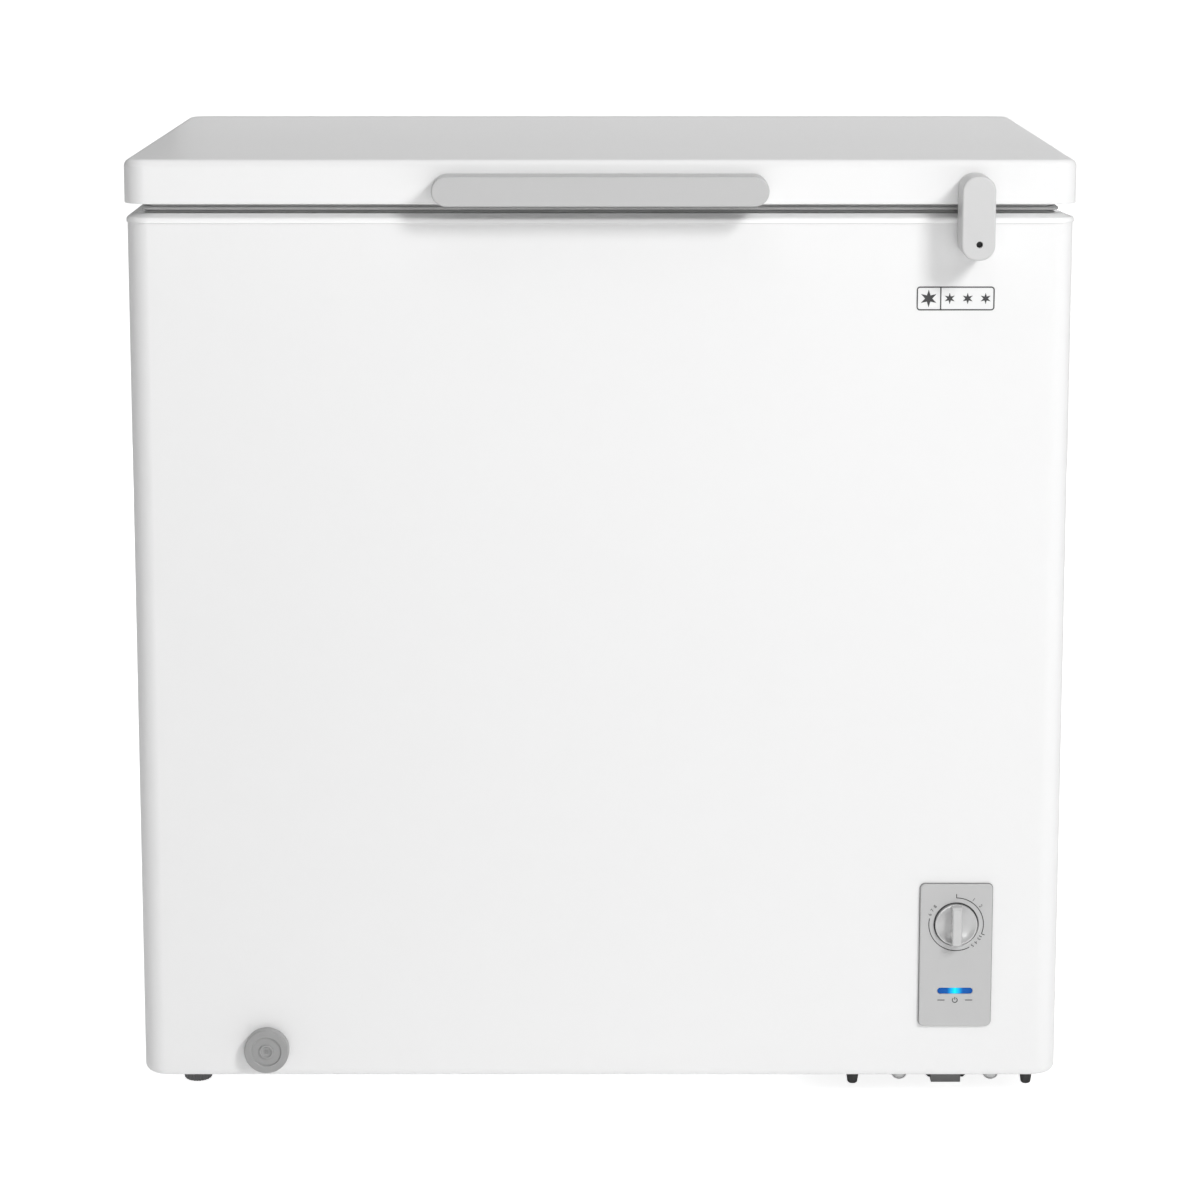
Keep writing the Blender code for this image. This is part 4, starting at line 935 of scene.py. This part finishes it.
def make_springs():
    """The hinges' coil springs, which stretch between the case's floor and the plunger."""
    wire, turns, per_turn = 0.0010, 9, 20
    for side in SIDES:
        node = f"hinge_spring_{side}"
        low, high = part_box(node)
        centre = centre_of(node)
        radius = (high.x - low.x) / 2 - wire
        helix = []
        for i in range(turns * per_turn + 1):
            turn = i / per_turn
            angle = 2 * math.pi * turn
            z = low.z + wire + (high.z - low.z - 2 * wire) * spring_height(turn, turns)
            helix.append((centre.x + radius * math.cos(angle), centre.y + radius * math.sin(angle), z))
        bm = welded(wires("spring_source", [helix], wire, STEEL))
        spring = finish_mesh(f"coil_spring_{side}", bm, STEEL)
        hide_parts(node)
        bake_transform(spring)


def screw_head(name, place, axis, radius):
    """A pan head with a cross recess."""
    height = radius * 0.55
    profile = [(0.0, height), (radius * 0.45, height * 0.98), (radius * 0.8, height * 0.75)]
    profile += [(radius, height * 0.3), (radius, 0.0), (0.0, 0.0)]
    head = turned(name, profile, place, axis, STEEL, 24)
    out = Vector(axis)
    across = Vector((0, 0, 1)) if abs(out.z) < 0.5 else Vector((1, 0, 0))
    other = out.cross(across)
    tip = Vector(place) + out * height
    for i, direction in enumerate((across, other)):
        third = out.cross(direction)
        half = direction * radius * 0.55 + third * radius * 0.10 + out * height * 0.5
        corner = Vector((abs(half.x), abs(half.y), abs(half.z)))
        slot = box_mesh(f"recess_{i}", tip - corner, tip + corner, STEEL)
        carve(head, slot)
    return head


def make_panel_screws():
    """The screws round the back panel and in the corners of the rear cover."""
    low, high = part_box("back_panel")
    edge = 0.012
    places = []
    for z in (low.z + edge, 0.40, 0.60, high.z - edge):
        places += [(low.x + edge, z), (high.x - edge, z)]
    places += [(x, high.z - edge) for x in (-0.14, 0.0, 0.14)]
    places += [(x, low.z + edge) for x in (-0.20, -0.02, 0.15)]
    heads = [screw_head("panel_screw", (x, high.y, z), (0, 1, 0), 0.0036) for x, z in places]
    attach(joined("back_panel_screws", heads), "cabinet")
    low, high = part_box("rear_cover")
    inset = 0.010
    spots = [(x, z) for x in (low.x + inset, high.x - inset) for z in (low.z + inset, high.z - inset)]
    heads = [screw_head("cover_screw", (x, high.y, z), (0, 1, 0), 0.0040) for x, z in spots]
    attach(joined("rear_cover_screws", heads), "cabinet")


def make_hinge_screws():
    """Four screws that hold each hinge's arm to the lid, and the one that shows in each case."""
    leaf_y = LID_HIGH.y + 0.0033
    for side in SIDES:
        middle = centre_of(f"hinge_arm_{side}").x
        heads = [
            screw_head("arm_screw", (middle + dx, leaf_y, z), (0, 1, 0), 0.0032)
            for dx in (-0.0075, 0.0075)
            for z in (0.8265, 0.8370)
        ]
        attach(joined(f"hinge_arm_screws_{side}", heads), "lid")
        web_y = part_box(f"hinge_case_{side}")[0].y + 0.0020
        heads = [screw_head("case_screw", (middle, web_y, 0.7015), (0, 1, 0), 0.0036)]
        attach(joined(f"hinge_case_screws_{side}", heads), "cabinet")


def basket_ring(low, high, taper, z):
    """A rounded rectangle round the basket at z, drawn in by the taper towards the bottom."""
    pull = taper * (high.z - z) / (high.z - low.z)
    flat = rounded(low.x + pull, high.x - pull, low.y + pull, high.y - pull, 0.022, 8)
    return [(x, y, z) for x, y in flat]


def cross_wires(low, high, count, inset, taper, floor_z, along_x):
    """Wires that run down one side of the basket, across its floor and up the other side."""
    run, spread = (0, 1) if along_x else (1, 0)
    margin, bend = 0.028, 0.015
    foot = inset + taper
    routes = []
    for i in range(count):
        spot = low[spread] + margin + (high[spread] - low[spread] - 2 * margin) * i / (count - 1)
        path = [(low[run] + inset, high.z), (low[run] + foot, floor_z)]
        path += [(high[run] - foot, floor_z), (high[run] - inset, high.z)]
        routes.append(bent([(reach, spot, z) if along_x else (spot, reach, z) for reach, z in path], bend))
    return routes


def make_basket():
    """The basket of coated wire: thick rims, thin cross wires, and hooks over the collar."""
    thick, thin, hook = 0.0022, 0.0012, 0.00135
    hook_reach, taper, rim_z = 0.024, 0.012, 0.776
    low = Vector((BASKET_LOW.x + thick, BASKET_LOW.y + hook_reach + thick, BASKET_LOW.z + thick))
    high = Vector((BASKET_HIGH.x - thick, BASKET_HIGH.y - hook_reach - thick, rim_z - thick))
    rings = [basket_ring(low, high, taper, z) for z in (high.z, high.z - 0.030, low.z + 0.002)]
    rims = wires("basket_rims", rings, thick * 0.8, WIRE_WHITE, cyclic=True)
    inset = thick * 0.8 + thin
    floor_z = low.z + inset
    routes = cross_wires(low, high, 9, inset, taper, floor_z, along_x=False)
    routes += cross_wires(low, high, 17, inset, taper, floor_z + 2 * thin, along_x=True)
    mesh = wires("basket_cross_wires", routes, thin, WIRE_WHITE, sides=2)
    hang = BASKET_HIGH.z - 0.0014
    hooks = []
    for sign, face in ((-1, low.y), (1, high.y)):
        stem_y, tip_y = face - sign * 0.0004, face + sign * 0.0225
        for x in (low.x + 0.030, high.x - 0.030):
            hooks.append(bent([(x, stem_y, high.z - 0.032), (x, stem_y, hang), (x, tip_y, hang)], 0.004))
    hook_wires = wires("basket_hooks", hooks, hook, WIRE_WHITE)
    for piece in (rims, mesh, hook_wires):
        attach(piece, "basket")
    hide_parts("basket")


# Stage


def make_floor():
    """A wide pale floor, which the camera sees lighter than it lights the object."""
    floor_finish = Finish("studio_floor", (0.90, 0.90, 0.90), 0.7)
    floor_finish.tone(floor_finish.noise(2.0), 0.004)
    floor_finish.gloss(floor_finish.noise(4.0), 0.05)
    floor_finish.shader.inputs["Emission Color"].default_value = (1.0, 1.0, 1.0, 1.0)
    path = floor_finish.nodes.new("ShaderNodeLightPath")
    glow = floor_finish.nodes.new("ShaderNodeMath")
    glow.operation = "MULTIPLY_ADD"
    given, seen_more = 0.20, 0.66
    glow.inputs[1].default_value = seen_more
    glow.inputs[2].default_value = given
    floor_finish.links.new(path.outputs["Is Camera Ray"], glow.inputs[0])
    floor_finish.links.new(glow.outputs["Value"], floor_finish.shader.inputs["Emission Strength"])
    bm = bmesh.new()
    bmesh.ops.create_grid(bm, x_segments=1, y_segments=1, size=60.0)
    floor = finish_mesh("studio_floor", bm, floor_finish.material)
    floor.location.z = -0.0002


def make_world():
    """An even grey surround that lights the object, seen as white behind it."""
    world = bpy.data.worlds.new("studio")
    bpy.context.scene.world = world
    world.use_nodes = True
    nodes, links = world.node_tree.nodes, world.node_tree.links
    glow = nodes["Background"]
    glow.inputs["Color"].default_value = (1.0, 1.0, 1.0, 1.0)
    glow.inputs["Strength"].default_value = 0.28
    seen = nodes.new("ShaderNodeBackground")
    seen.inputs["Color"].default_value = (1.0, 1.0, 1.0, 1.0)
    seen.inputs["Strength"].default_value = 1.0
    path = nodes.new("ShaderNodeLightPath")
    choose = nodes.new("ShaderNodeMixShader")
    links.new(path.outputs["Is Camera Ray"], choose.inputs["Fac"])
    links.new(glow.outputs["Background"], choose.inputs[1])
    links.new(seen.outputs["Background"], choose.inputs[2])
    links.new(choose.outputs["Shader"], nodes["World Output"].inputs["Surface"])


def area_light(name, place, target, size, power):
    """A rectangular studio light aimed at a target."""
    data = bpy.data.lights.new(name, "AREA")
    data.shape = "RECTANGLE"
    data.size, data.size_y = size
    data.energy = power
    light = bpy.data.objects.new(name, data)
    bpy.context.scene.collection.objects.link(light)
    light.location = place
    aim = Vector(target) - Vector(place)
    light.rotation_euler = aim.to_track_quat("-Z", "Y").to_euler()


def make_lights():
    """A small key light from the right, wide soft fills in front and behind, and one overhead."""
    middle = (0.0, -0.2, 0.55)
    area_light("key", (2.4, -3.2, 3.05), middle, (1.0, 1.0), 106.0)
    area_light("fill", (0.1, -4.6, 0.75), middle, (2.6, 1.0), 22.0)
    area_light("back", (0.4, 3.4, 0.6), middle, (2.4, 1.0), 22.0)
    area_light("top", (0.0, -0.7, 3.4), (0.0, -0.2, 0.85), (2.4, 2.4), 17.0)


def make_camera():
    """In front of the middle and a quarter of a metre above the lid, looking down at the front."""
    data = bpy.data.cameras.new("camera")
    camera = bpy.data.objects.new("camera", data)
    bpy.context.scene.collection.objects.link(camera)
    camera.location = (-0.0043, FRONT_Y - 3.212, 1.111)
    data.lens = 111.1
    data.sensor_width = 36.0
    data.shift_x = 0.004
    data.shift_y = -0.074
    pitch = math.radians(10.07)
    camera.rotation_euler = (math.pi / 2 - pitch, 0.0, 0.0)
    bpy.context.scene.camera = camera


def main():
    """Dress the CAD nodes, build every visual piece, and set the stage."""
    dress_cad_nodes()
    make_shell()
    make_collar()
    make_lid_skin()
    make_lid_panel()
    make_seal()
    make_handle()
    make_lock()
    make_symbol()
    make_plate()
    make_panel_backing()
    make_panel_print()
    make_knob()
    make_lens()
    make_drain_cap()
    make_feet()
    make_springs()
    make_panel_screws()
    make_hinge_screws()
    make_basket()
    make_floor()
    make_world()
    make_lights()
    make_camera()
    bpy.context.scene.view_settings.view_transform = "Standard"


main()
